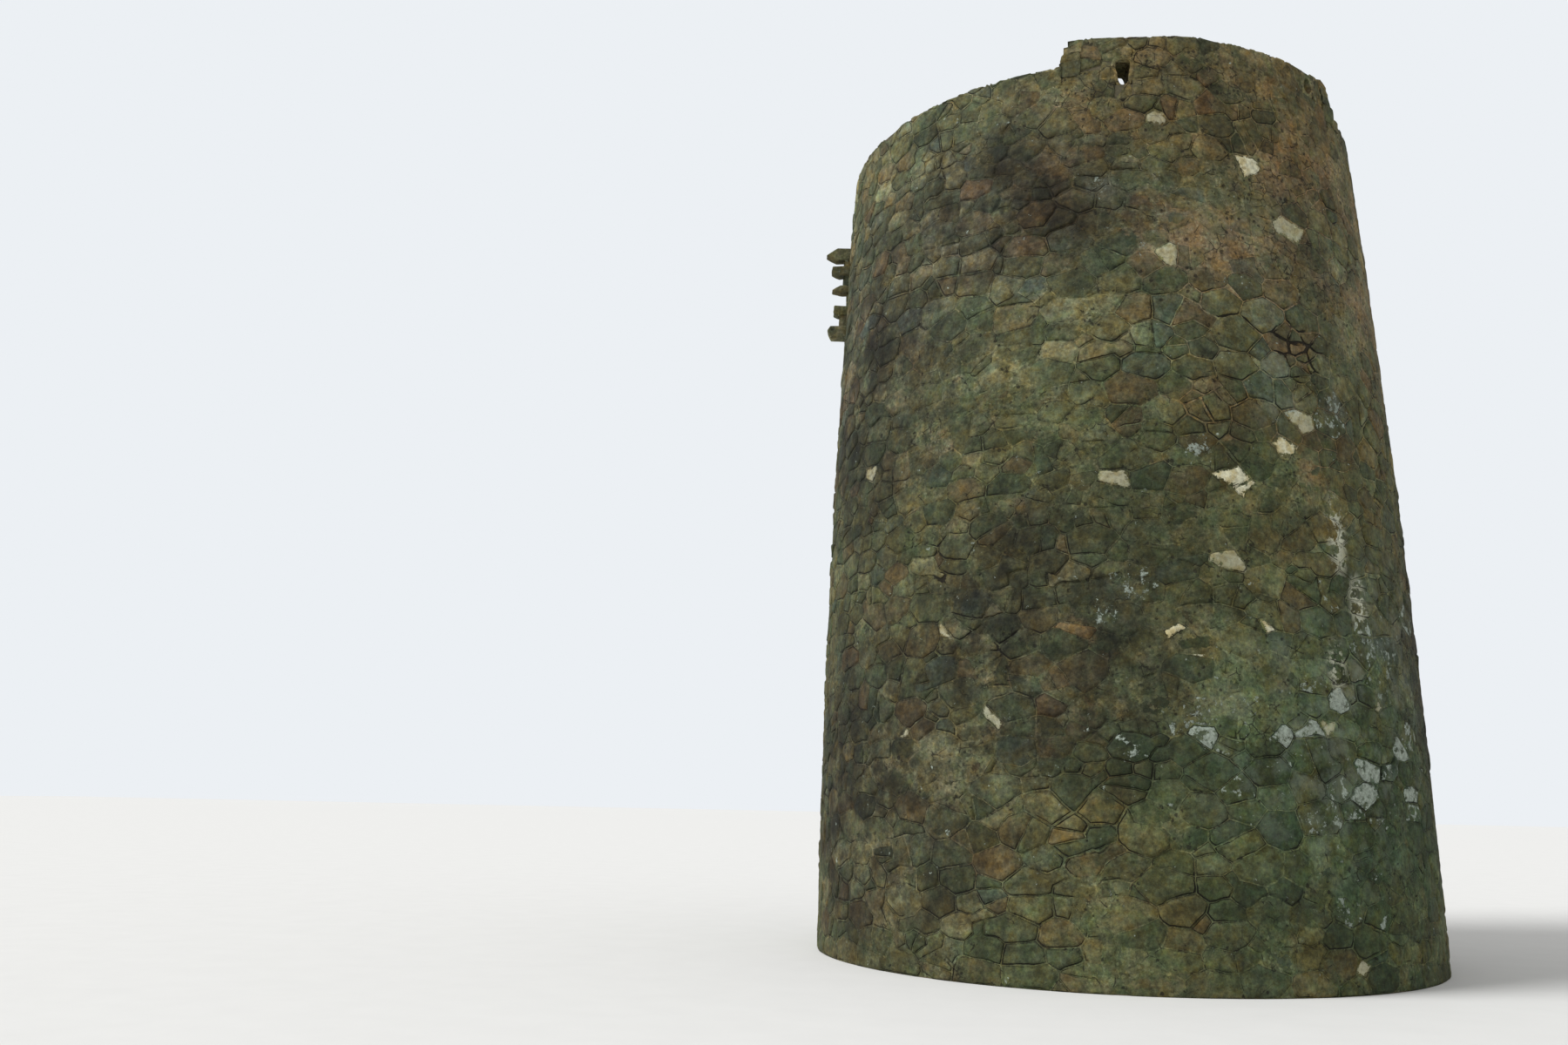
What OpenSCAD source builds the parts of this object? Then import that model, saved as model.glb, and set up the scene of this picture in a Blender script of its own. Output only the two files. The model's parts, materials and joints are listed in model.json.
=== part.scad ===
// Round coastal watchtower of rubble masonry: a solid base, one domed chamber reached by a raised
// doorway, and a terrace behind a broken parapet.
// Sizes are in millimetres and +Z is up. The origin is the centre of the foot, at the lowest ground.
// The doorway and the broken corbel stones over it face -X. Bearings are measured round the wall
// in degrees, from -Y at 0 towards +X at 90.

/* [Tower] */
// Radius of the wall face at the lowest ground
foot_radius = 3632; // [3000:4:4400]
// Radius lost in each metre of height by the plain lean of the wall
lean_per_metre = 12.7; // [0:0.1:40]
// Radius lost with the square of the height in metres, which bows the wall inwards
bow_per_square_metre = 2.88; // [0:0.01:6]
// Height of one straight band of the bowed wall face
band_height = 700; // [300:50:1500]

/* [Base] */
// Height of the solid base, up to the underside of the chamber floor
base_height = 4780; // [3000:10:6000]
// Thickness of the facing wall round the core, at the foot
facing_thickness = 982; // [500:2:1500]

/* [Chamber] */
// Radius of the round chamber
chamber_radius = 1750; // [1200:10:2300]
// Thickness of the built floor of the chamber
floor_thickness = 120; // [60:5:250]
// Height of the chamber wall from the floor to the spring of the dome
chamber_wall_height = 1700; // [1200:10:2500]
// Width of the ledge in the wall that carries the dome
vault_ledge = 300; // [150:10:500]
// Masonry over the crown of the dome, up to the underside of the terrace deck
vault_crown_thickness = 430; // [250:10:800]

/* [Doorway] */
// Clear width of the doorway
door_width = 850; // [600:10:1200]
// Height from the sill to the spring of the arch
door_spring_height = 1300; // [1000:10:1800]
// Face width of the jamb stones and of the arch ring
surround_width = 250; // [150:5:400]
// Depth of the surround in the wall, from the wall face at the sill
surround_depth = 450; // [300:5:600]
// Stones in each jamb
jamb_stones = 4; // [2:1:6]
// Wedge stones in the arch
arch_stones = 9; // [5:2:15]
// Width of a mortar joint of the surround
surround_joint = 8; // [2:1:20]

/* [Terrace] */
// Thickness of the terrace deck
deck_thickness = 100; // [50:5:200]
// Thickness of the parapet at the deck
parapet_thickness = 450; // [300:10:600]
// Height of the level rim of the low parapet above the deck
low_parapet_height = 1150; // [800:10:1400]
// Height lost by the worn rim beyond the right end of the raised parapet
rim_wear = 90; // [0:5:200]
// Height of the raised parapet above the low rim
raised_parapet_rise = 330; // [150:10:600]
// Bearing of the left end of the raised parapet
raised_left_bearing = -5.2; // [-20:0.1:10]
// Bearing of the foot of the worn right end of the raised parapet
raised_right_bearing = 64.6; // [50:0.1:80]

/* [Loopholes] */
// Bearing of the left loophole
left_loop_bearing = 7.05; // [2:0.05:20]
// Width of the left loophole
left_loop_width = 190; // [100:5:300]
// Height of the left loophole
left_loop_height = 320; // [150:5:400]
// Height of its foot above the deck
left_loop_foot = 870; // [700:5:1000]
// Bearing of the right loophole
right_loop_bearing = 52.1; // [45:0.1:56]
// Width of the right loophole
right_loop_width = 240; // [120:5:320]
// Height of the right loophole
right_loop_height = 230; // [120:5:260]
// Height of its foot above the deck
right_loop_foot = 1160; // [900:5:1180]

/* [Corbels] */
// Angle between the doorway's centre and each cheek of stones
cheek_angle = 12; // [8:0.5:16]
// Width of a corbel stone along the wall
corbel_width = 200; // [150:10:450]
// Length of a corbel stone's tail in the wall
corbel_tail = 300; // [150:10:400]
// Width lost by each higher stone of a cheek
corbel_taper = 8; // [0:2:30]

/* [Hidden] */

$fn = 256;
millimetres = 1000;
degrees_in_turn = 360;
lap = 50;

// Wall segments in a full turn, and low parapet segments, as the nodes list them
wall_segments = 8;
low_parapet_segments = 5;

// Derived heights
floor_level = base_height + floor_thickness;
spring_level = floor_level + chamber_wall_height;
deck_underside = spring_level + chamber_radius + vault_crown_thickness;
deck_level = deck_underside + deck_thickness;
rim_level = deck_level + low_parapet_height;
raised_level = rim_level + raised_parapet_rise;
door_spring_level = floor_level + door_spring_height;

// Derived radii and angles
core_radius = foot_radius - facing_thickness;
vault_radius = chamber_radius + vault_ledge;
terrace_radius = wall_radius(deck_level) - parapet_thickness;
door_half = door_width / 2;
surround_half = door_half + surround_width;
surround_back = wall_radius(floor_level) - surround_depth;
segment_angle = degrees_in_turn / wall_segments;
low_parapet_angle = (degrees_in_turn - raised_right_bearing + raised_left_bearing)
    / low_parapet_segments;
door_bearing = -90;
left_loop_half = asin(left_loop_width / 2 / wall_radius(raised_level));
right_loop_half = asin(right_loop_width / 2 / wall_radius(raised_level));
left_loop_level = deck_level + left_loop_foot;
right_loop_level = deck_level + right_loop_foot;
beyond = foot_radius + 500;

// Corbel stones of one cheek from the lowest up. Each row holds the heights of the underside and of
// the top above the deck, the reach of the underside, of the nose and of the top beyond the wall
// face, and the height of the nose above the deck.
corbel_rows = [
    [-1029, -862, 205, 250, 224, -930],
    [-709, -579, 128, 190, 184, -672],
    [-389, -291, 92, 238, 128, -346],
    [-131, -2, 148, 262, 250, -86],
    [87, 263, 205, 350, 205, 158]
];

// Broken ends of the raised parapet, as distances in from the foot of the end along the wall and
// heights above the low rim
left_end_steps = [[0, 0], [34, 154], [67, 260], [112, 310], [168, 330]];
right_end_steps = [[0, -90], [140, 7], [173, 147], [215, 262], [265, 310], [350, 330]];

stone = [0.42, 0.37, 0.28];
core_stone = [0.36, 0.32, 0.26];
dressed = [0.50, 0.45, 0.35];
lime = [0.55, 0.51, 0.43];

// Radius of the wall face at a height
function wall_radius(height) =
    foot_radius - lean_per_metre * height / millimetres
    - bow_per_square_metre * pow(height / millimetres, 2);

// Points up the wall face from one height to another
function face_points(low, high) =
    let (bands = max(1, round((high - low) / band_height)))
    [for (i = [0 : bands]) let (h = low + (high - low) * i / bands) [wall_radius(h), h]];

// Bearing of the middle of a wall segment
function segment_bearing(index) = index * segment_angle;

// Bearing of the start of a low parapet segment
function low_parapet_bearing(index) = raised_right_bearing + index * low_parapet_angle;

// Turns +X to a bearing round the wall
module at_bearing(bearing) {
    rotate([0, 0, bearing - 90]) children();
}

// Sweeps a profile of radius and height between two bearings
module sweep(from_bearing, to_bearing) {
    at_bearing(from_bearing)
        rotate_extrude(angle = to_bearing - from_bearing) children();
}

// The whole wall face as one closed solid, used to trim what ends at the face
module tower_body(low, high) {
    rotate_extrude()
        polygon(concat([[0, low]], face_points(low, high), [[0, high]]));
}

// Solid base
module base_core() {
    color(core_stone) cylinder(r = core_radius, h = base_height);
}

module base_segment(index) {
    middle = segment_bearing(index);
    color(stone)
        sweep(middle - segment_angle / 2, middle + segment_angle / 2)
            polygon(concat([[core_radius, 0]], face_points(0, base_height),
                [[core_radius, base_height]]));
}

module base_wall_front() { base_segment(0); }
module base_wall_front_right() { base_segment(1); }
module base_wall_right() { base_segment(2); }
module base_wall_back_right() { base_segment(3); }
module base_wall_back() { base_segment(4); }
module base_wall_back_left() { base_segment(5); }
module base_wall_left() { base_segment(6); }
module base_wall_front_left() { base_segment(7); }

// Chamber storey
module chamber_floor() {
    color(lime)
        translate([0, 0, base_height]) cylinder(r = chamber_radius, h = floor_thickness);
}

module chamber_segment(index) {
    middle = segment_bearing(index);
    sweep(middle - segment_angle / 2, middle + segment_angle / 2)
        polygon(concat([[chamber_radius, base_height]], face_points(base_height, deck_level), [
            [terrace_radius, deck_level],
            [terrace_radius, deck_underside],
            [vault_radius, deck_underside],
            [vault_radius, spring_level],
            [chamber_radius, spring_level]
        ]));
}

module chamber_wall_front() { color(stone) chamber_segment(0); }
module chamber_wall_front_right() { color(stone) chamber_segment(1); }
module chamber_wall_right() { color(stone) chamber_segment(2); }
module chamber_wall_back_right() { color(stone) chamber_segment(3); }
module chamber_wall_back() { color(stone) chamber_segment(4); }
module chamber_wall_back_left() { color(stone) chamber_segment(5); }
module chamber_wall_front_left() { color(stone) chamber_segment(7); }

// Everything that the wall leaves free round the doorway
module door_space() {
    at_bearing(door_bearing) {
        translate([0, -door_half, base_height - lap])
            cube([beyond, door_width, door_spring_level - base_height + lap]);
        translate([surround_back, -surround_half, base_height - lap])
            cube([beyond, 2 * surround_half, door_spring_level - base_height + lap]);
        translate([0, 0, door_spring_level])
            rotate([0, 90, 0]) cylinder(r = door_half, h = beyond);
        translate([surround_back, 0, door_spring_level])
            rotate([0, 90, 0]) cylinder(r = surround_half, h = beyond);
    }
}

// Half space on one side of the doorway, up to the spring of its arch
module beside_door(side) {
    at_bearing(door_bearing)
        translate([0, side > 0 ? 0 : -beyond, base_height])
            cube([beyond, beyond, door_spring_level - base_height]);
}

module door_side_wall(side) {
    color(stone)
        difference() {
            intersection() {
                chamber_segment(6);
                beside_door(side);
            }
            door_space();
        }
}

module wall_beside_door_near() { door_side_wall(1); }
module wall_beside_door_far() { door_side_wall(-1); }

module wall_over_door() {
    color(stone)
        difference() {
            chamber_segment(6);
            at_bearing(door_bearing)
                translate([0, -beyond, base_height - lap])
                    cube([beyond, 2 * beyond, door_spring_level - base_height + lap]);
            door_space();
            cheek(1);
            cheek(-1);
        }
}

// Doorway
module door_sill() {
    color(dressed)
        difference() {
            intersection() {
                tower_body(base_height, floor_level);
                at_bearing(door_bearing) {
                    translate([0, -door_half, base_height])
                        cube([beyond, door_width, floor_thickness]);
                    translate([surround_back, -surround_half, base_height])
                        cube([beyond, 2 * surround_half, floor_thickness]);
                }
            }
            translate([0, 0, base_height - lap])
                cylinder(r = chamber_radius, h = floor_thickness + 2 * lap);
        }
}

module door_jamb(side) {
    stone_height = (door_spring_height - (jamb_stones - 1) * surround_joint) / jamb_stones;
    color(dressed)
        intersection() {
            tower_body(floor_level, door_spring_level);
            at_bearing(door_bearing)
                for (i = [0 : jamb_stones - 1])
                    translate([surround_back, side > 0 ? door_half : -surround_half,
                            floor_level + i * (stone_height + surround_joint)])
                        cube([beyond, surround_width, stone_height]);
        }
}

module door_jamb_near() { door_jamb(1); }
module door_jamb_far() { door_jamb(-1); }

module door_arch() {
    joint_angle = surround_joint / (door_half + surround_half) * degrees_in_turn / PI;
    stone_angle = (180 - (arch_stones + 1) * joint_angle) / arch_stones;
    color(dressed)
        intersection() {
            tower_body(door_spring_level, deck_level);
            at_bearing(door_bearing)
                translate([surround_back, 0, door_spring_level])
                    rotate([0, 90, 0])
                        for (i = [0 : arch_stones - 1])
                            rotate([0, 0, 90 + joint_angle + i * (stone_angle + joint_angle)])
                                rotate_extrude(angle = stone_angle)
                                    translate([door_half, 0])
                                        square([surround_width, beyond - surround_back]);
        }
}

// Domed vault with filled haunches, one quarter from a bearing on
module vault_quarter(from_bearing) {
    color(core_stone)
        difference() {
            sweep(from_bearing, from_bearing + 90)
                translate([0, spring_level])
                    square([vault_radius, deck_underside - spring_level]);
            translate([0, 0, spring_level]) sphere(r = chamber_radius);
        }
}

module vault_front_right() { vault_quarter(0); }
module vault_back_right() { vault_quarter(90); }
module vault_back_left() { vault_quarter(180); }
module vault_front_left() { vault_quarter(270); }

module terrace_deck() {
    color(lime)
        translate([0, 0, deck_underside]) cylinder(r = terrace_radius, h = deck_thickness);
}

// Parapet
module parapet_sweep(from_bearing, to_bearing, low, high) {
    sweep(from_bearing, to_bearing)
        polygon(concat([[terrace_radius, low]], face_points(low, high), [[terrace_radius, high]]));
}

module low_parapet(index) {
    parapet_sweep(low_parapet_bearing(index), low_parapet_bearing(index + 1), deck_level,
        index == 0 ? rim_level - rim_wear : rim_level);
}

module parapet_right() { color(stone) low_parapet(0); }
module parapet_back_right() { color(stone) low_parapet(1); }
module parapet_back_left() { color(stone) low_parapet(2); }

module parapet_left() {
    color(stone)
        difference() {
            low_parapet(3);
            cheek(1);
            cheek(-1);
        }
}

module parapet_front_left() { color(stone) low_parapet(4); }

// What has fallen from one end of the raised parapet: everything outside its broken edge
module fallen_end(bearing, steps, side) {
    top = raised_level + lap;
    outer_edge = -2 * lap;
    first = steps[0];
    second = steps[1];
    last = steps[len(steps) - 1];
    before_last = steps[len(steps) - 2];
    first_slope = (second[1] - first[1]) / (second[0] - first[0]);
    points = concat(
        [[outer_edge, rim_level + first[1] + (outer_edge - first[0]) * first_slope]],
        [for (step = [1:len(steps) - 1]) [steps[step][0], rim_level + steps[step][1]]],
        [[last[0] + lap * (last[0] - before_last[0]) / (last[1] - before_last[1]), top],
            [outer_edge, top]]);
    at_bearing(bearing)
        rotate([90, 0, 90])
            linear_extrude(height = beyond)
                polygon([for (p = points) [side * p[0], p[1]]]);
}

module raised_parapet_left() {
    color(stone)
        difference() {
            parapet_sweep(raised_left_bearing, left_loop_bearing - left_loop_half,
                deck_level, raised_level);
            fallen_end(raised_left_bearing, left_end_steps, 1);
        }
}

module raised_parapet_middle() {
    color(stone)
        parapet_sweep(left_loop_bearing + left_loop_half, right_loop_bearing - right_loop_half,
            deck_level, raised_level);
}

module raised_parapet_right() {
    color(stone)
        difference() {
            parapet_sweep(right_loop_bearing + right_loop_half, raised_right_bearing,
                deck_level, raised_level);
            fallen_end(raised_right_bearing, right_end_steps, -1);
        }
}

// Masonry under or over a loophole
module loophole_block(bearing, half_angle, low, high) {
    color(stone) parapet_sweep(bearing - half_angle, bearing + half_angle, low, high);
}

module left_loophole_sill() {
    loophole_block(left_loop_bearing, left_loop_half, deck_level, left_loop_level);
}

module left_loophole_lintel() {
    loophole_block(left_loop_bearing, left_loop_half, left_loop_level + left_loop_height,
        raised_level);
}

module right_loophole_sill() {
    loophole_block(right_loop_bearing, right_loop_half, deck_level, right_loop_level);
}

module right_loophole_lintel() {
    loophole_block(right_loop_bearing, right_loop_half, right_loop_level + right_loop_height,
        raised_level);
}

// One corbel stone, with its nose beyond the wall face and its tail in the wall
module corbel_stone(index, side) {
    row = corbel_rows[index];
    low = deck_level + row[0];
    high = deck_level + row[1];
    nose = deck_level + row[5];
    width = corbel_width - index * corbel_taper;
    at_bearing(door_bearing + side * cheek_angle)
        rotate([90, 0, 0])
            translate([0, 0, -width / 2])
                linear_extrude(height = width)
                    polygon([
                        [wall_radius(low) - corbel_tail, low],
                        [wall_radius(low) + row[2], low],
                        [wall_radius(nose) + row[3], nose],
                        [wall_radius(high) + row[4], high],
                        [wall_radius(low) - corbel_tail, high]
                    ]);
}

// The broken stones of one cheek of the overhanging box that stood over the doorway
module cheek(side) {
    for (i = [0 : len(corbel_rows) - 1]) corbel_stone(i, side);
}

module corbel_stones_near() { color(dressed) cheek(1); }
module corbel_stones_far() { color(dressed) cheek(-1); }

base_core();
base_wall_front();
base_wall_front_right();
base_wall_right();
base_wall_back_right();
base_wall_back();
base_wall_back_left();
base_wall_left();
base_wall_front_left();
chamber_floor();
chamber_wall_front();
chamber_wall_front_right();
chamber_wall_right();
chamber_wall_back_right();
chamber_wall_back();
chamber_wall_back_left();
chamber_wall_front_left();
wall_beside_door_near();
wall_beside_door_far();
wall_over_door();
door_sill();
door_jamb_near();
door_jamb_far();
door_arch();
vault_front_right();
vault_back_right();
vault_back_left();
vault_front_left();
terrace_deck();
raised_parapet_left();
left_loophole_sill();
left_loophole_lintel();
raised_parapet_middle();
right_loophole_sill();
right_loophole_lintel();
raised_parapet_right();
parapet_right();
parapet_back_right();
parapet_back_left();
parapet_left();
parapet_front_left();
corbel_stones_near();
corbel_stones_far();
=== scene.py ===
import json
import logging
import math
from collections.abc import Callable, Iterable, Iterator
from dataclasses import dataclass
from enum import Enum, IntEnum

import bmesh
import bpy
import numpy as np
from bmesh.types import BMEdge, BMesh, BMFace, BMVert
from mathutils import Matrix, Vector
from mathutils.geometry import intersect_point_line


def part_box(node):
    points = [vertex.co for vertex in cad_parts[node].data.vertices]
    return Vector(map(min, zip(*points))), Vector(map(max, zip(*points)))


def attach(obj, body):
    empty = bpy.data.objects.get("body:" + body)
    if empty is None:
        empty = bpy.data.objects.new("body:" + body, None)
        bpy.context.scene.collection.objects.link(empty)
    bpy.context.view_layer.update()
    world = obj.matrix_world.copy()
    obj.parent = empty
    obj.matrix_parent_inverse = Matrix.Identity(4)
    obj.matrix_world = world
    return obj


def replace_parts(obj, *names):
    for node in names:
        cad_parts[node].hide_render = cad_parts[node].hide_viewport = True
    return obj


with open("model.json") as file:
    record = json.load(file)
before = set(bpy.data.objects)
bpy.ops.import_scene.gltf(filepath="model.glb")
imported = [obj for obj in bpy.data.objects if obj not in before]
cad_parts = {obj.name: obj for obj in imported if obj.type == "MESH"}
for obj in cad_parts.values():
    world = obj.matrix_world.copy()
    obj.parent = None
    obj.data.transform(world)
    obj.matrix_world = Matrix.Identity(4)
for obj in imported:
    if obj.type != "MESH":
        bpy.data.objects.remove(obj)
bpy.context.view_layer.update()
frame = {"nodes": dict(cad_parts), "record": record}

logging.basicConfig(level=logging.INFO, format="%(message)s")
log = logging.getLogger("watchtower")

Socket = bpy.types.NodeSocket
Material = bpy.types.Material
Colour = tuple[float, float, float, float]
Array = np.ndarray
Number = float | Array

BODY = "root"
DOOR_BEARING = -90.0
RUBBLE_SLOT = "rubble_wall"
CORBEL_NODES = ("corbel_stones_near", "corbel_stones_far")
MERGE_DISTANCE = 1e-4
WHITE: Colour = (1.0, 1.0, 1.0, 1.0)

SCREEN_TOE, SCREEN_SLOPE, SCREEN_OFFSET, SCREEN_POWER = 0.04045, 12.92, 0.055, 2.4
LATTICE_SHIFT = 17.31
LATTICE_KEYS = np.array([73856093, 19349663, 83492791])
LATTICE_MIXERS = ((15, 2246822519), (13, 3266489917))
WORD = 0xFFFFFFFF
TONE_ORDER = Vector((0.1, -0.1, 1.0))


def shade(red: int, green: int, blue: int) -> Colour:
    """Turn a colour as seen on a screen, 0 to 255, into the linear colour that a shader takes.

    Args:
        red: Red as seen.
        green: Green as seen.
        blue: Blue as seen.

    Returns:
        The linear colour with full opacity.
    """
    seen = (value / 255 for value in (red, green, blue))
    linear = (part / SCREEN_SLOPE if part <= SCREEN_TOE
              else ((part + SCREEN_OFFSET) / (1 + SCREEN_OFFSET)) ** SCREEN_POWER for part in seen)
    return (*linear, 1.0)


def smooth_step(low: float, high: float, value: Number) -> Number:
    """Return 0 below low, 1 above high, and a soft rise between them."""
    part = np.clip((value - low) / (high - low), 0.0, 1.0)
    return part * part * (3 - 2 * part)


def lattice_noise(points: Array, scale: float, seed: int) -> Array:
    """Return soft noise from -1 to 1 at points in space, the same on every run.

    Args:
        points: Points in metres, one row each.
        scale: Lumps in a metre.
        seed: Number that picks one pattern.

    Returns:
        One value for each point.
    """
    scaled = points * scale + seed * LATTICE_SHIFT
    cell = np.floor(scaled).astype(np.int64)
    part = smooth_step(0.0, 1.0, scaled - cell)
    total = np.zeros(len(points))
    for corner in range(8):
        step = np.array([corner & 1, corner >> 1 & 1, corner >> 2 & 1])
        key = (cell + step) * LATTICE_KEYS
        value = (key[:, 0] ^ key[:, 1] ^ key[:, 2]) & WORD
        for shift, mixer in LATTICE_MIXERS:
            value = (value ^ value >> shift) * mixer & WORD
        weight = np.prod(np.where(step == 1, part, 1 - part), axis=1)
        total += weight * ((value ^ value >> 16) / (WORD >> 1) - 1)
    return total


def around(radius: float, turn: float, level: float) -> Vector:
    """Return the point at a distance from the axis, a bearing in radians and a level."""
    return Vector((radius * math.sin(turn), -radius * math.cos(turn), level))


def sides_of(corners: list) -> Iterator[tuple]:
    """Return each corner of an outline with the next one."""
    return zip(corners, corners[1:] + corners[:1])


def islands(items: Iterable, neighbours: Callable[[object], Iterable]) -> Iterator[set]:
    """Return the groups of joined items, one after the other.

    Args:
        items: Vertices or faces of a mesh.
        neighbours: Gives the items next to one.

    Yields:
        Each group as a set.
    """
    seen = set()
    for start in items:
        if start in seen:
            continue
        group, waiting = {start}, [start]
        while waiting:
            for other in neighbours(waiting.pop()):
                if other not in group:
                    group.add(other)
                    waiting.append(other)
        seen |= group
        yield group


def solid_copy(node: str) -> BMesh:
    """Return a copy of a solid's mesh with its points joined."""
    copy = bmesh.new()
    copy.from_mesh(frame["nodes"][node].data)
    bmesh.ops.remove_doubles(copy, verts=copy.verts, dist=MERGE_DISTANCE)
    return copy


@dataclass(frozen=True)
class WallForm:
    """Radii and levels of the round wall, as the solids have them."""

    foot_radius: float
    lean: float
    bow: float
    deck_level: float
    inner_radius: float
    rim_level: float
    worn_rim_level: float
    raised_level: float
    edge_radius: float = 0.016
    raised_left: float = -5.2
    raised_right: float = 64.6
    left_end_run: float = 3.05
    right_end_run: float = 6.3
    worn_rim_end: float = 122.64
    worn_rim_slope: tuple[float, float] = (5.0, 0.6)
    end_foot: float = 9.965

    @classmethod
    def from_solids(cls) -> "WallForm":
        """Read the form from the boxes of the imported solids."""
        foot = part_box("base_wall_right")[1].x
        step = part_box("chamber_wall_right")
        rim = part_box("parapet_right")
        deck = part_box("terrace_deck")[1]
        low, high = step[0].z, rim[0].z
        low_loss, high_loss = foot - step[1].x, foot - rim[1].x
        bow = (high_loss / high - low_loss / low) / (high - low)
        return cls(
            foot_radius=foot,
            lean=low_loss / low - bow * low,
            bow=bow,
            deck_level=deck.z,
            inner_radius=deck.x,
            rim_level=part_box("parapet_left")[1].z,
            worn_rim_level=rim[1].z,
            raised_level=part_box("raised_parapet_middle")[1].z,
        )

    def radius(self, height: Number) -> Number:
        """Return the radius of the wall face at a height."""
        return self.foot_radius - self.lean * height - self.bow * height * height

    def slope(self, height: Array) -> Array:
        """Return how fast the radius grows with height."""
        return -self.lean - 2 * self.bow * height

    def is_raised(self, bearing: Number) -> Number:
        """Tell which bearings belong to the raised parapet."""
        turn = (bearing + 180) % 360 - 180
        return (turn > self.raised_left + self.left_end_run / 2) & (
            turn < self.raised_right - self.right_end_run / 2)

    def rim(self, bearing: Number) -> Number:
        """Return the level of the parapet's top at a bearing."""
        turn = bearing % 360
        start, end = (self.worn_rim_end - part for part in self.worn_rim_slope)
        worn = np.where(turn < self.raised_right - self.right_end_run, 1.0, smooth_step(start, end, turn))
        low = self.worn_rim_level + (self.rim_level - self.worn_rim_level) * worn
        return np.where(self.is_raised(bearing), self.raised_level, low)


FORM = WallForm.from_solids()


def stone_spans(node: str, trim: float = 0.006, turn_trim: float = 0.12) -> list[tuple[float, ...]]:
    """Return the lowest and highest level and the bearings of each loose stone of a solid.

    Args:
        node: Name of the solid.
        trim: How far inside the stone the levels lie.
        turn_trim: How far inside the stone the bearings lie, in degrees.

    Returns:
        Low level, high level, first bearing and last bearing of each stone.
    """
    stones = solid_copy(node)
    spans = []
    for group in islands(stones.verts, lambda vert: (edge.other_vert(vert) for edge in vert.link_edges)):
        levels = [vert.co.z for vert in group]
        bearings = [math.degrees(math.atan2(vert.co.x, -vert.co.y)) for vert in group
                    if vert.co.xy.length > FORM.radius(vert.co.z)]
        spans.append((min(levels) + trim, max(levels) - trim,
                      min(bearings) + turn_trim, max(bearings) - turn_trim))
    stones.free()
    return sorted(spans)


class Side(Enum):
    """Which face of the wall a skin of stones lies on."""

    OUTER = 1
    INNER = -1


class StoneKind(Enum):
    """Kinds of stone that stand out in the wall, as tone, paleness and cover of lichen."""

    PALE = (0.55, 1.0, 0.0)
    BUFF = (0.88, 0.45, 0.0)
    OCHRE = (0.985, 0.0, 0.0)
    GREEN = (0.20, 0.0, 0.0)
    BROWN = (0.62, 0.0, 0.0)
    TAN = (0.82, 0.0, 0.0)
    RUSTY = (1.0, 0.0, 0.0)
    BLUE = (0.94, 0.12, 0.0)
    GREY = (0.50, 0.0, 0.0)
    LICHENED = (0.94, 0.04, 1.75)


@dataclass(frozen=True)
class MarkedStone:
    """A stone that is seen at one place of the wall."""

    bearing: float
    height: float
    width: float
    rise: float
    kind: StoneKind


PALE, BUFF, OCHRE, GREEN, BROWN, TAN, RUSTY, BLUE, GREY, LICHENED = StoneKind

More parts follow.
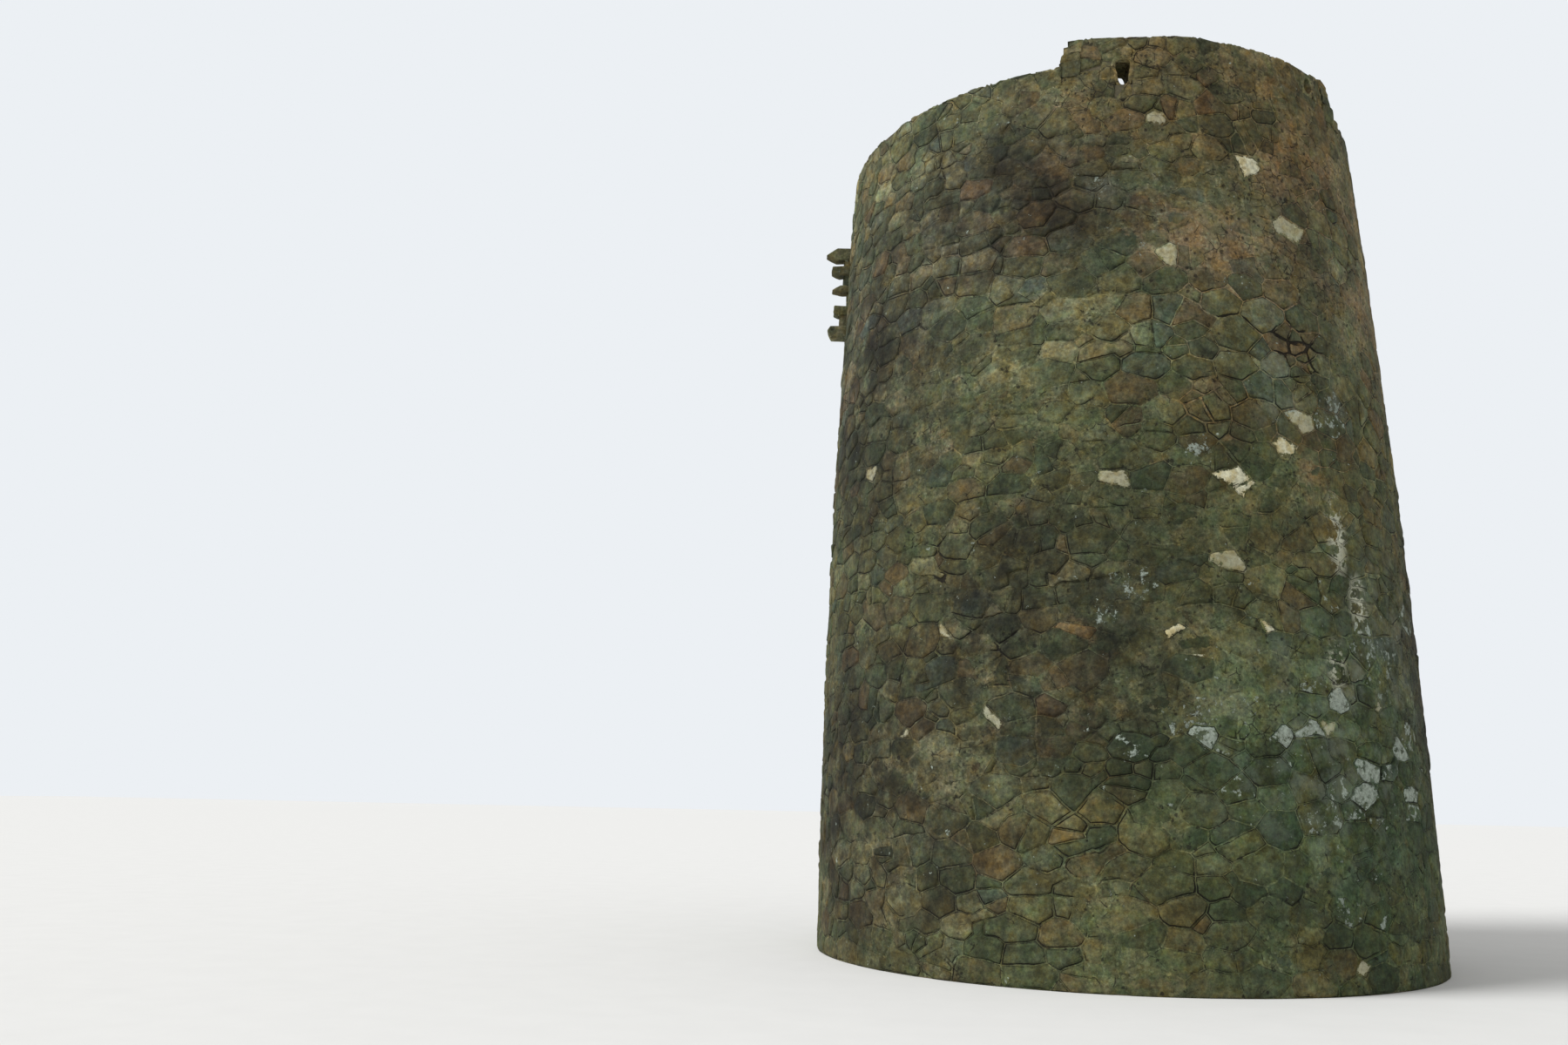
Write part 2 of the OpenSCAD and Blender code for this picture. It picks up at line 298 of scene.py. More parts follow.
MARKED_STONES = tuple(MarkedStone(*row) for row in (
    (31, 8.80, 0.36, 0.22, PALE), (40, 8.10, 0.34, 0.30, BUFF), (14, 7.64, 0.34, 0.22, BUFF),
    (33, 5.54, 0.30, 0.20, PALE), (37, 5.79, 0.18, 0.12, BUFF), (23, 5.12, 0.24, 0.16, PALE),
    (25, 4.98, 0.16, 0.14, PALE), (2, 5.08, 0.26, 0.10, BUFF), (21, 4.23, 0.32, 0.22, BUFF),
    (27, 3.60, 0.20, 0.12, PALE), (12, 3.47, 0.18, 0.18, PALE), (14, 3.26, 0.26, 0.14, PALE),
    (-5, 3.50, 0.28, 0.20, OCHRE), (-18.5, 2.64, 0.32, 0.18, BUFF), (-27.0, 3.56, 0.18, 0.08, BUFF),
    (-36.8, 2.50, 0.16, 0.08, BUFF), (32.5, 2.49, 0.28, 0.20, LICHENED), (45.2, 2.20, 0.28, 0.26, LICHENED),
    (27.4, 2.50, 0.22, 0.18, LICHENED), (39.9, 2.85, 0.20, 0.30, LICHENED), (44.8, 3.20, 0.26, 0.30, BLUE),
    (56.0, 2.40, 0.30, 0.26, LICHENED), (43.6, 1.88, 0.30, 0.26, LICHENED),
    (58.9, 1.92, 0.26, 0.20, LICHENED), (37.9, 2.62, 0.08, 0.06, BUFF), (34.4, 2.83, 0.22, 0.30, GREY),
    (26.0, 1.60, 0.34, 0.24, GREEN), (14, 2.44, 0.26, 0.22, LICHENED), (9, 5.14, 0.28, 0.46, GREEN),
    (-50, 5.55, 0.22, 0.24, BUFF), (13, 9.35, 0.22, 0.05, BUFF), (33, 6.45, 0.34, 0.30, BLUE),
    (-3.4, 3.12, 0.50, 0.28, BROWN), (-12.2, 3.17, 0.30, 0.24, BROWN), (-24.5, 3.14, 0.26, 0.26, TAN),
    (53, 2.74, 0.26, 0.26, GREY), (-33, 3.50, 0.50, 0.30, BROWN), (-30, 4.90, 0.46, 0.30, GREEN),
    (-1.1, 10.16, 0.26, 0.20, TAN), (35.7, 6.86, 0.17, 0.13, RUSTY), (33.9, 6.67, 0.20, 0.15, RUSTY),
    (38.3, 6.66, 0.17, 0.14, RUSTY), (39.2, 6.47, 0.15, 0.14, RUSTY), (41.8, 6.60, 0.13, 0.12, BROWN),
    (37.6, 6.83, 0.13, 0.11, GREEN), (36.2, 6.50, 0.13, 0.11, BROWN), (44.6, 6.76, 0.20, 0.16, GREEN),
    (41.0, 6.88, 0.17, 0.12, BROWN), (-140, 7.10, 0.36, 0.24, PALE), (-160, 4.30, 0.32, 0.22, PALE),
    (150, 6.20, 0.34, 0.20, PALE), (120, 3.10, 0.30, 0.22, PALE), (100, 7.90, 0.34, 0.22, BUFF),
    (-120, 2.60, 0.36, 0.24, BUFF), (178, 2.20, 0.40, 0.26, BUFF),))


@dataclass(frozen=True)
class Stain:
    """A place of the wall with a colour of its own."""

    bearing: float
    height: float
    reach: float
    stretch: float = 1.0


Places = tuple[Stain, ...]

LICHEN_PLACES = (
    Stain(38, 2.4, 2.1), Stain(56, 3.2, 1.2, 1.6), Stain(33, 6.0, 0.5), Stain(47, 6.1, 0.4, 1.2),
    Stain(1.3, 8.5, 0.26), Stain(150, 3.0, 2.0), Stain(-150, 5.0, 1.5, 1.2))
WARM_PLACES = (
    Stain(25, 7.7, 1.3, 0.7), Stain(50, 8.3, 1.5), Stain(70, 7.6, 1.1, 2.0), Stain(21, 5.9, 0.8, 0.7),
    Stain(42, 5.6, 0.9), Stain(38, 6.9, 0.7), Stain(-160, 7.0, 1.6), Stain(130, 5.2, 1.5))
GREEN_PLACES = (
    Stain(8, 4.2, 1.4), Stain(24, 5.0, 0.9), Stain(6, 2.0, 1.3), Stain(-52, 6.0, 0.9),
    Stain(50, 1.2, 1.6, 0.6), Stain(170, 2.2, 2.2))
TAN_PLACES = (
    Stain(-35, 1.8, 1.8), Stain(32, 3.4, 2.2), Stain(58, 5.0, 1.8, 1.8), Stain(30, 6.6, 1.6),
    Stain(20, 1.6, 1.4, 0.7), Stain(45, 9.2, 1.6, 0.7), Stain(120, 8.0, 2.2), Stain(-120, 4.5, 2.0),
    Stain(170, 5.0, 1.8))
LIME_RUNS = (
    Stain(43, 4.6, 0.20, 3.0), Stain(47, 3.9, 0.20, 2.0), Stain(40, 3.2, 0.18, 2.0),
    Stain(-170, 7.0, 0.32, 3.4))
BROWN_PLACES = (
    Stain(30, 9.6, 3.4, 0.45), Stain(-6, 8.3, 0.8), Stain(-150, 9.0, 3.0, 0.6),
    Stain(150, 8.6, 2.6, 0.6))
DRY_PLACES = (
    Stain(-48, 2.0, 3.0), Stain(-52, 6.6, 2.4, 1.4), Stain(-20, 8.4, 2.2, 0.7), Stain(-12, 3.5, 2.3),
    Stain(85, 3.4, 2.4), Stain(-150, 3.2, 2.8), Stain(145, 6.0, 2.6))
COLD_PLACES = (
    Stain(44, 2.0, 3.0), Stain(175, 2.0, 3.4), Stain(110, 1.8, 2.6), Stain(-110, 2.0, 2.6))
GRITTY_PLACES = (
    Stain(4.6, 4.0, 0.36), Stain(-0.5, 3.7, 0.28), Stain(17.3, 5.4, 0.28), Stain(1.5, 8.5, 0.17),
    Stain(-165, 5.6, 0.4), Stain(95, 4.4, 0.4))
PLASTERED_PLACES = (
    Stain(36, 8.0, 1.9), Stain(62, 7.6, 1.8, 2.0), Stain(70, 4.4, 1.3, 3.0), Stain(12, 9.6, 1.6, 0.5),
    Stain(30, 3.9, 1.6), Stain(28, 6.6, 1.2), Stain(6, 6.9, 0.8), Stain(46, 6.0, 0.9),
    Stain(-160, 7.0, 1.6), Stain(130, 5.2, 1.5), Stain(-60, 3.0, 1.6))
PITTED_PLACES = (
    Stain(66, 4.8, 1.1, 3.4), Stain(50, 1.3, 0.9), Stain(46, 8.2, 1.5), Stain(74, 3.0, 1.2, 2.4),
    Stain(-100, 5.0, 1.2, 3.0), Stain(16, 9.6, 1.6, 0.5), Stain(160, 6.0, 1.4))


@dataclass(frozen=True)
class LoosePlace:
    """A place of the wall whose joints have lost their mortar."""

    bearing: float
    height: float
    reach: float
    depth: float


LOOSE_PLACES = (
    LoosePlace(38.5, 6.66, 0.50, 1.1),
    LoosePlace(24, 6.90, 0.35, 0.5),
    LoosePlace(57, 1.05, 0.60, 0.6),
    LoosePlace(-28, 4.35, 0.50, 0.35),
    LoosePlace(-20, 3.55, 0.60, 0.35),
    LoosePlace(-150, 6.10, 0.60, 0.45),
    LoosePlace(140, 2.40, 0.80, 0.45),
)


@dataclass(frozen=True)
class Gap:
    """A convex part of the wall face that the skin of stones leaves free."""

    corners: tuple[tuple[float, float], ...]
    fringe: bool = False

    @classmethod
    def between(cls, left: float, right: float, low: float, high: float, fringe: bool = False) -> "Gap":
        """Make a gap between two bearings and two levels."""
        return cls(((left, low), (right, low), (right, high), (left, high)), fringe)


@dataclass(frozen=True)
class Value:
    """A number that a node sheet works out, with its sums written as sums."""

    sheet: "NodeSheet"
    socket: Socket

    def __add__(self, other: "Value | float") -> "Value":
        """Return the sum of this and another."""
        return self.sheet.math("ADD", self, other)

    def __sub__(self, other: "Value | float") -> "Value":
        """Return this less another."""
        return self.sheet.math("SUBTRACT", self, other)

    def __rsub__(self, other: float) -> "Value":
        """Return a plain number less this."""
        return self.sheet.math("SUBTRACT", other, self)

    def __mul__(self, other: "Value | float") -> "Value":
        """Return the product of this and another."""
        return self.sheet.math("MULTIPLY", self, other)

    def __or__(self, other: "Value") -> "Value":
        """Return the larger of this and another."""
        return self.sheet.math("MAXIMUM", self, other)


@dataclass(frozen=True)
class Band:
    """A soft rise from 0 at one value to 1 at another; a low above its high turns it round."""

    low: float
    high: float

    def of(self, value: Value) -> Value:
        """Return how far up the rise a value lies."""
        return Value(value.sheet, value.sheet.add("ShaderNodeMapRange", {
            "Value": value, "From Min": self.low, "From Max": self.high, "To Min": 0.0, "To Max": 1.0},
            interpolation_type="SMOOTHSTEP").outputs["Result"])


@dataclass(frozen=True)
class Grain:
    """A noise: lumps to the metre, how much finer it goes, and how rough the fine part is."""

    scale: float
    detail: float = 5.0
    rough: float = 0.55


class NodeSheet:
    """A material's node tree, with short ways to add the nodes that stone and lime need."""

    def __init__(self, name: str) -> None:
        """Start an empty material.

        Args:
            name: Name of the material.
        """
        self.material = bpy.data.materials.new(name)
        self.material.use_nodes = True
        self.tree = self.material.node_tree
        self.tree.nodes.clear()
        self.place = self.add("ShaderNodeTexCoord").outputs["Object"]
        self.known: dict[Grain | Places, Value] = {}

    def add(self, kind: str, inputs: dict | None = None, **settings: object) -> bpy.types.Node:
        """Add one node.

        Args:
            kind: Type of the node.
            inputs: Values or sockets for its inputs, by name or number.
            **settings: Values of the node's own settings.

        Returns:
            The new node.
        """
        node = self.tree.nodes.new(kind)
        for name, value in settings.items():
            setattr(node, name, value)
        for name, value in (inputs or {}).items():
            if isinstance(value, Value):
                value = value.socket
            if isinstance(value, Socket):
                self.tree.links.new(value, node.inputs[name])
            else:
                node.inputs[name].default_value = value
        return node

    def math(self, operation: str, first: Value | float, second: Value | float) -> Value:
        """Return the result of one sum."""
        return Value(self, self.add("ShaderNodeMath", {0: first, 1: second}, operation=operation).outputs[0])

    def vector(self, operation: str, first: Socket, second: Socket | tuple[float, ...],
              result: str = "Vector") -> Socket:
        """Return the result of one sum with places."""
        return self.add("ShaderNodeVectorMath", {0: first, 1: second}, operation=operation).outputs[result]

    def noise(self, grain: Grain) -> Value:
        """Return noise, which is the same value each time for the same grain."""
        if grain not in self.known:
            self.known[grain] = Value(self, self.add("ShaderNodeTexNoise", {
                "Vector": self.place, "Scale": grain.scale, "Detail": grain.detail,
                "Roughness": grain.rough}).outputs["Fac"])
        return self.known[grain]

    def swing(self, grain: Grain) -> Value:
        """Return noise that swings round nought."""
        return self.noise(grain) - 0.5

    def cells(self, scale: float, place: Socket, feature: str = "F1") -> bpy.types.Node:
        """Return a node of broken cells of a scale in cells to the metre."""
        return self.add("ShaderNodeTexVoronoi", {"Vector": place, "Scale": scale}, feature=feature)

    def cell_edge(self, scale: float, place: Socket) -> Value:
        """Return the distance from the nearest edge of broken cells."""
        return Value(self, self.cells(scale, place, "DISTANCE_TO_EDGE").outputs["Distance"])

    def cell_number(self, scale: float, place: Socket) -> Value:
        """Return a number of its own for each broken cell."""
        colour = self.cells(scale, place).outputs["Color"]
        return Value(self, self.add("ShaderNodeSeparateColor", {0: colour}).outputs[0])

    def mix(self, amount: Value | float, first: Socket | Colour, second: Socket | Colour,
            blend: str = "MIX") -> Socket:
        """Return two colours mixed."""
        return self.add("ShaderNodeMix", {0: amount, 6: first, 7: second}, data_type="RGBA",
                        blend_type=blend, clamp_factor=True).outputs[2]

    def ramp(self, value: Value, *stops: tuple[float, Colour]) -> Socket:
        """Return a colour from a row of colours.

        Args:
            value: Place on the row, 0 to 1.
            *stops: Places and colours.

        Returns:
            The colour socket.
        """
        node = self.add("ShaderNodeValToRGB", {0: value})
        band = node.color_ramp
        for position, _ in stops[2:]:
            band.elements.new(position)
        for stop, (position, colour) in zip(band.elements, stops):
            stop.position = position
            stop.color = colour
        return node.outputs["Color"]

    def attribute(self, name: str) -> Value:
        """Return a value that the mesh carries."""
        return Value(self, self.add("ShaderNodeAttribute", attribute_name=name).outputs["Fac"])

    def bent(self, scale: float, amount: float) -> Socket:
        """Return places shifted by noise, so that patterns laid on them look broken."""
        wave = self.add("ShaderNodeTexNoise", {"Vector": self.place, "Scale": scale, "Detail": 4.0})
        wave = self.vector("SUBTRACT", wave.outputs["Color"], (0.5, 0.5, 0.5))
        wave = self.vector("MULTIPLY", wave, (amount, amount, amount))
        return self.vector("ADD", self.place, wave)

    def shaded(self, colour: Socket | Colour, value: Value, band: Band, darkest: int) -> Socket:
        """Return a colour multiplied by a dark grey, 0 to 255, where a value is below the band."""
        grey = self.ramp(value, (band.low, shade(darkest, darkest, darkest)), (band.high, WHITE))
        return self.mix(1.0, colour, grey, "MULTIPLY")

    def near(self, stain: Stain) -> Value:
        """Return 1 in the middle of a place of the wall and 0 beyond its reach."""
        centre = around(FORM.radius(stain.height), math.radians(stain.bearing), stain.height)
        flat = self.vector("MULTIPLY", self.place, (1, 1, 1 / stain.stretch))
        point = (centre.x, centre.y, centre.z / stain.stretch)
        distance = Value(self, self.vector("DISTANCE", flat, point, "Value"))
        return Band(stain.reach, stain.reach * 0.25).of(distance)

    def field(self, places: Places) -> Value:
        """Return 1 in the middle of any of the places and 0 away from them all."""
        if places not in self.known:
            total = self.near(places[0])
            for stain in places[1:]:
                total = total | self.near(stain)
            self.known[places] = total
        return self.known[places]

    def finish(self, colour: Socket, roughness: Value | float, height: Value | Socket,
               depth: float) -> Material:
        """Close the sheet with its surface.

        Args:
            colour: Colour of the surface.
            roughness: Roughness of the surface.
            height: Relief, 0 to 1.
            depth: Depth of the relief in metres.

        Returns:
            The finished material.
        """
        bump = self.add("ShaderNodeBump", {"Height": height, "Distance": depth, "Strength": 1.0})
        surface = self.add("ShaderNodeBsdfPrincipled", {
            "Base Color": colour, "Roughness": roughness, "Normal": bump.outputs["Normal"],
            "Specular IOR Level": 0.25})
        self.add("ShaderNodeOutputMaterial", {"Surface": surface.outputs["BSDF"]})
        return self.material


@dataclass(frozen=True)
class Patches:
    """Where something shows: noise over a threshold.

    Where there is a pull, the patches are denser at the places; without one, they lie only there.
    """

    grain: Grain
    band: Band
    strength: float = 1.0
    places: Places = ()
    pull: float = 0.0

    def lay(self, sheet: NodeSheet) -> Value:
        """Return the patches, from 0 to their strength."""
        value = sheet.noise(self.grain)
        if self.pull:
            value = sheet.field(self.places) * self.pull + value
        value = self.band.of(value)
        if self.places and not self.pull:
            value = sheet.field(self.places) * value
        return value if self.strength == 1.0 else value * self.strength


@dataclass(frozen=True)
class Shading:
    """Noise that darkens a colour where it is low."""

    grain: Grain
    band: Band
    darkest: int

    def lay(self, sheet: NodeSheet, colour: Socket | Colour) -> Socket:
        """Return the darkened colour."""
        return sheet.shaded(colour, sheet.noise(self.grain), self.band, self.darkest)


@dataclass(frozen=True)
class Drift:
    """Patches of two tints that run across the stones, with the plain colour between them."""

    grain: Grain
    spread: float
    low: Colour
    high: Colour

    def tint(self, sheet: NodeSheet) -> Socket:
        """Return the tint of each place."""
        return sheet.ramp(sheet.noise(self.grain), (0.5 - self.spread, self.low), (0.5, WHITE),
                          (0.5 + self.spread, self.high))


@dataclass(frozen=True)
class Grit:
    """Fine grain in the colour of a plain finish."""

    grain: Grain
    strength: float
    dark: Colour
    light: Colour

    def lay(self, sheet: NodeSheet, colour: Socket) -> Socket:
        """Return the grained colour."""
        tint = sheet.ramp(sheet.noise(self.grain), (0.3, self.dark), (0.7, self.light))
        return sheet.mix(self.strength, colour, tint, "MULTIPLY")


@dataclass(frozen=True)
class Coat:
    """A colour laid over another one in patches."""

    patches: Patches
    colour: Colour

    def lay(self, sheet: NodeSheet, under: Socket | Colour) -> Socket:
        """Return the colour with this coat on it."""
        return sheet.mix(self.patches.lay(sheet), under, self.colour)


@dataclass(frozen=True)
class Tint:
    """A tint that the colour has at some places of the wall."""

    places: Places
    colour: Colour

    def lay(self, sheet: NodeSheet, under: Socket) -> Socket:
        """Return the tinted colour."""
        return sheet.mix(sheet.field(self.places), under, self.colour, "MULTIPLY")


def laid(sheet: NodeSheet, colour: Socket | Colour, layers: tuple) -> Socket | Colour:
    """Return a colour with coats, tints or shadings laid on it in turn."""
    for layer in layers:
        colour = layer.lay(sheet, colour)
    return colour


@dataclass(frozen=True)
class RubbleFinish:
    """Weathered rubble and lime mortar, with lichen and washed-out lime.

    It reads from the mesh how far inside its stone a point lies, how much mortar is smeared there,
    and how open the joint is, where it lays painted shade; and from the face the stone's tone, paleness and
    crust of lichen.
    """

    name: str = "weathered_rubble"
    lap: float = 0.075
    torn_lap: float = 0.11
    broad_lap: float = 0.22
    spread_lap: float = 0.15
    tight: float = 0.010
    bare_ragged: float = 0.45
    smeared_ragged: float = 0.55
    mortar_grey: Colour = shade(138, 143, 106)
    mortar_lime: Colour = shade(204, 204, 168)
    damp_tint: Colour = shade(234, 236, 222)
    # painted shade, partly dirt: near black laid into cracks, open joints, holes and fissures for the shadow
    # inside them, and along the thin outlines of bare stones
    open_joint: Colour = shade(22, 19, 14)
    lichen: Colour = shade(172, 184, 172)
    lime_wash: Colour = shade(202, 204, 182)
    algae: Colour = shade(72, 92, 60)
    pale_stone: Colour = shade(230, 228, 198)
    pale_side: Colour = shade(204, 190, 142)
    stones: tuple[tuple[float, Colour], ...] = (
        (0.00, shade(104, 111, 84)), (0.10, shade(130, 133, 96)), (0.20, shade(112, 121, 93)),
        (0.30, shade(152, 152, 110)), (0.40, shade(118, 125, 91)), (0.50, shade(152, 156, 120)),
        (0.60, shade(130, 127, 92)), (0.67, shade(142, 127, 95)), (0.74, shade(158, 156, 113)),
        (0.82, shade(158, 146, 108)), (0.88, shade(182, 180, 136)), (0.94, shade(122, 132, 110)),
        (0.97, shade(126, 134, 110)), (0.985, shade(206, 176, 122)), (1.00, shade(150, 133, 98)))
    stone_shading: Shading = Shading(Grain(6.5, 9.0, 0.66), Band(0.36, 0.62), 178)
    mortar_coats: tuple[Coat, ...] = (
        Coat(Patches(Grain(3.3, 7.0, 0.62), Band(0.48, 0.72), places=TAN_PLACES, pull=0.30),
             shade(182, 180, 138)),
        Coat(Patches(Grain(2.6, 7.0, 0.62), Band(0.50, 0.76), places=WARM_PLACES, pull=0.34),
             shade(188, 166, 128)),
        Coat(Patches(Grain(5.5, 8.0, 0.7), Band(0.54, 0.66), 0.60), mortar_lime))
    sand: Band = Band(0.0, 0.45)
    sand_dark: int = 196
    pebbles: Band = Band(0.90, 0.93)
    pebble_strength: float = 0.45
    torn: Grain = Grain(13.0, 9.0, 0.72)
    broad: Grain = Grain(4.4, 8.0, 0.66)
    spots: Grain = Grain(8.5, 9.0, 0.70)
    fine: Grain = Grain(31.0, 8.0, 0.72)
    lapped: Band = Band(0.12, 0.85)
    spread: Patches = Patches(Grain(3.6, 9.0, 0.66), Band(0.50, 0.66), places=PLASTERED_PLACES, pull=0.15)
    spread_cover: Band = Band(0.02, 0.20)
    bare_edge: Band = Band(0.000, 0.008)
    thin_cover: Band = Band(0.90, 0.25)
    thin_least: float = 0.10
    thin_more: float = 0.72
    drifts: tuple[Drift, ...] = (
        Drift(Grain(3.7, 9.0, 0.66), 0.10, shade(255, 240, 214), shade(226, 242, 236)),
        Drift(Grain(11.0, 8.0, 0.68), 0.12, shade(236, 238, 250), shade(250, 240, 212)))
    green: Patches = Patches(Grain(1.1, 6.0, 0.6), Band(0.48, 0.76), places=GREEN_PLACES, pull=0.30)
    green_spots: Band = Band(0.34, 0.60)
    green_strength: float = 0.42
    rust: Coat = Coat(Patches(Grain(2.3, 7.0, 0.65), Band(0.40, 0.66), 0.24, WARM_PLACES),
                      shade(150, 120, 80))
    damp_levels: Band = Band(7.8, 5.2)
    damp_edge: Grain = Grain(1.3, 6.0, 0.6)
    damp_rise: float = 4.0
    tints: tuple[Tint, ...] = (
        Tint(COLD_PLACES, shade(210, 236, 232)), Tint(BROWN_PLACES, shade(252, 232, 216)),
        Tint(DRY_PLACES, shade(246, 240, 255)))
    dry_shadings: tuple[Shading, ...] = (
        Shading(Grain(1.2, 6.0, 0.6), Band(0.40, 0.56), 168),
        Shading(Grain(3.6, 4.0, 0.6), Band(0.42, 0.56), 184))
    shadings: tuple[Shading, ...] = (
        Shading(Grain(1.9, 5.0, 0.55), Band(0.36, 0.60), 208),
        Shading(Grain(15.0, 9.0, 0.74), Band(0.36, 0.60), 190),
        Shading(fine, Band(0.34, 0.60), 204))
    veil: Coat = Coat(Patches(Grain(3.1, 8.0, 0.68), Band(0.44, 0.62), 0.14, LICHEN_PLACES), lichen)
    crust_band: Band = Band(0.660, 0.685)
    crust_pull: float = 0.020
    crust_grown: float = 0.115
    crust_edge: Band = Band(0.002, 0.020)
    crust_gritty: float = 0.11
    crust_strength: float = 0.78
    fleck_band: Band = Band(0.675, 0.70)
    fleck_pull: float = 0.04
    fleck_gritty: float = 0.05
    fleck_strength: float = 0.6
    lichen_shading: Shading = Shading(Grain(27.0, 8.0, 0.72), Band(0.36, 0.60), 170)
    vein_torn: Grain = Grain(19.0, 8.0, 0.72)
    vein_sway: float = 0.16
    vein_edge: Band = Band(0.050, 0.010)
    vein_share: float = 0.15
    washed: Band = Band(0.46, 0.53)
    washed_strength: float = 0.85
    hole_uneven: Grain = Grain(9.7, 3.0, 0.6)
    hole_sway: float = 0.8
    holes: Band = Band(0.66, 0.54)
    holed: Patches = Patches(Grain(7.3, 5.0, 0.6), Band(0.48, 0.56), places=PITTED_PLACES, pull=0.16)
    lines: Band = Band(0.036, 0.014)
    lined: Patches = Patches(Grain(5.3, 6.0, 0.66), Band(0.53, 0.61), places=PITTED_PLACES, pull=0.08)
    pits_on_stone: float = 0.65
    pits_strength: float = 0.80
    pale_torn: Grain = Grain(10.0, 9.0, 0.75)
    pale_sway: float = 0.26
    pale_edge: Band = Band(0.014, 0.028)
    pale_strength: float = 0.88
    pale_sides: Patches = Patches(Grain(7.0, 7.0, 0.6), Band(0.42, 0.62))
    pale_shading: Shading = Shading(Grain(24.0, 8.0, 0.72), Band(0.34, 0.58), 196)
    faint_edge: Band = Band(0.012, 0.004)
    faint_sway: float = 0.05
    faint_cover: Band = Band(0.62, 0.12)
    faint_strength: float = 0.84
    crack_band: Band = Band(0.46, 0.74)
    crack_torn: float = 1.7
    crack_broad: float = 0.9
    dark_strength: float = 0.92
    dark_depth: float = 0.35
    lumps: Grain = Grain(9.0, 9.0, 0.66)
    hewn: Grain = Grain(6.0, 9.0, 0.6)
    hewn_depth: float = 1.1
    grain: Grain = Grain(36.0, 8.0, 0.7)
    mortar_grain: float = 0.56
    stone_grain: float = 0.18
    stone_rise: float = 0.20
    roughness: float = 0.74
    rough_grain: float = 0.25
    depth: float = 0.030

    def mortar(self, sheet: NodeSheet) -> Socket:
        """Return the mortar's colour, warm in some places and grey in others."""
        colour = laid(sheet, self.mortar_grey, self.mortar_coats)
        grit = sheet.cell_number(34.0, sheet.bent(24.0, 0.016))
        colour = sheet.shaded(colour, grit, self.sand, self.sand_dark)
        return sheet.mix(self.pebbles.of(grit) * self.pebble_strength, colour, self.mortar_lime)

    def weather(self, sheet: NodeSheet, colour: Socket) -> Socket:
        """Return a colour with what years of weather leave on the wall.

        Args:
            sheet: The node sheet.
            colour: Colour of clean stone and mortar.

        Returns:
            The weathered colour.
        """
        green = self.green.lay(sheet) * self.green_spots.of(sheet.noise(self.spots))
        colour = sheet.mix(green * self.green_strength, colour, self.algae)
        colour = self.rust.lay(sheet, colour)
        # a little darker and yellower lower down, below about 5 to 8 m, with a wavy edge
        height = Value(sheet, sheet.add("ShaderNodeSeparateXYZ", {0: sheet.place}).outputs["Z"])
        darker_below = self.damp_levels.of(height + sheet.swing(self.damp_edge) * self.damp_rise)
        colour = sheet.mix(darker_below, colour, self.damp_tint, "MULTIPLY")
        colour = laid(sheet, colour, self.tints)
        colour = sheet.mix(sheet.field(DRY_PLACES), colour, laid(sheet, colour, self.dry_shadings))
        colour = laid(sheet, colour, self.shadings)
        colour = self.veil.lay(sheet, colour)
        growth = self.lichen_shading.lay(sheet, self.lichen)
        colour = sheet.mix(self.grown(sheet), colour, growth)
        return sheet.mix(self.lime(sheet), colour, self.lime_wash)

    def grown(self, sheet: NodeSheet) -> Value:
        """Return crusts and flecks of lichen, 1 where there is one."""
        lichened, gritty = sheet.field(LICHEN_PLACES), sheet.field(GRITTY_PLACES)
        crust = lichened * self.crust_pull + sheet.noise(self.spots)
        marked = sheet.attribute("crust") * self.crust_edge.of(sheet.attribute("inside"))
        crust = gritty * self.crust_gritty + (marked * self.crust_grown + crust)
        flecks = gritty * self.fleck_gritty + (lichened * self.fleck_pull + sheet.noise(self.fine))
        return (self.crust_band.of(crust) * self.crust_strength
                | self.fleck_band.of(flecks) * self.fleck_strength)

    def lime(self, sheet: NodeSheet) -> Value:
        """Return streaks of washed-out lime, 1 where there is one."""
        veins = sheet.attribute("inside") + sheet.swing(self.vein_torn) * self.vein_sway
        veins = (self.vein_edge.of(veins) - 0.5) * self.vein_share + sheet.noise(self.spots)
        return sheet.field(LIME_RUNS) * self.washed.of(veins) * self.washed_strength

    def pits(self, sheet: NodeSheet) -> Value:
        """Return small holes in the mortar, 1 where there is one; the finish paints them near black as their
        shade.
        """
        holes = Value(sheet, sheet.cells(12.0, sheet.bent(15.0, 0.034)).outputs["Distance"])
        holes = holes + sheet.noise(self.hole_uneven) * self.hole_sway
        return self.holes.of(holes) * self.holed.lay(sheet)

    def fissures(self, sheet: NodeSheet) -> Value:
        """Return short cracks that run across mortar and stones, 1 where there is one; the finish paints
        them near black as their shade.
        """
        lines = sheet.cell_edge(6.5, sheet.bent(7.0, 0.06))
        return self.lines.of(lines) * self.lined.lay(sheet)

    def bare(self, sheet: NodeSheet, inside: Value, smear: Value) -> Value:
        """Return where stone shows, 1, and where mortar lies over it, 0.

        Args:
            sheet: The node sheet.
            inside: How far inside its stone a point lies.
            smear: How much mortar is smeared there.

        Returns:
            The value.
        """
        ragged = sheet.swing(self.torn) * self.torn_lap + sheet.swing(self.broad) * self.broad_lap
        edge = inside + ragged * (smear * self.smeared_ragged + self.bare_ragged)
        edge = edge - self.lapped.of(smear) * (self.lap + self.tight)
        spread = self.spread.lay(sheet) * self.spread_cover.of(smear)
        return self.bare_edge.of(edge - spread * self.spread_lap + self.tight)

    def pale(self, sheet: NodeSheet, colour: Socket, inside: Value) -> Socket:
        """Return a colour with the pale stones in it."""
        edge = inside + sheet.swing(self.pale_torn) * self.pale_sway
        clean = sheet.attribute("pale") * self.pale_edge.of(edge) * self.pale_strength
        pale = sheet.mix(self.pale_sides.lay(sheet), self.pale_stone, self.pale_side)
        return sheet.mix(clean, colour, self.pale_shading.lay(sheet, pale))

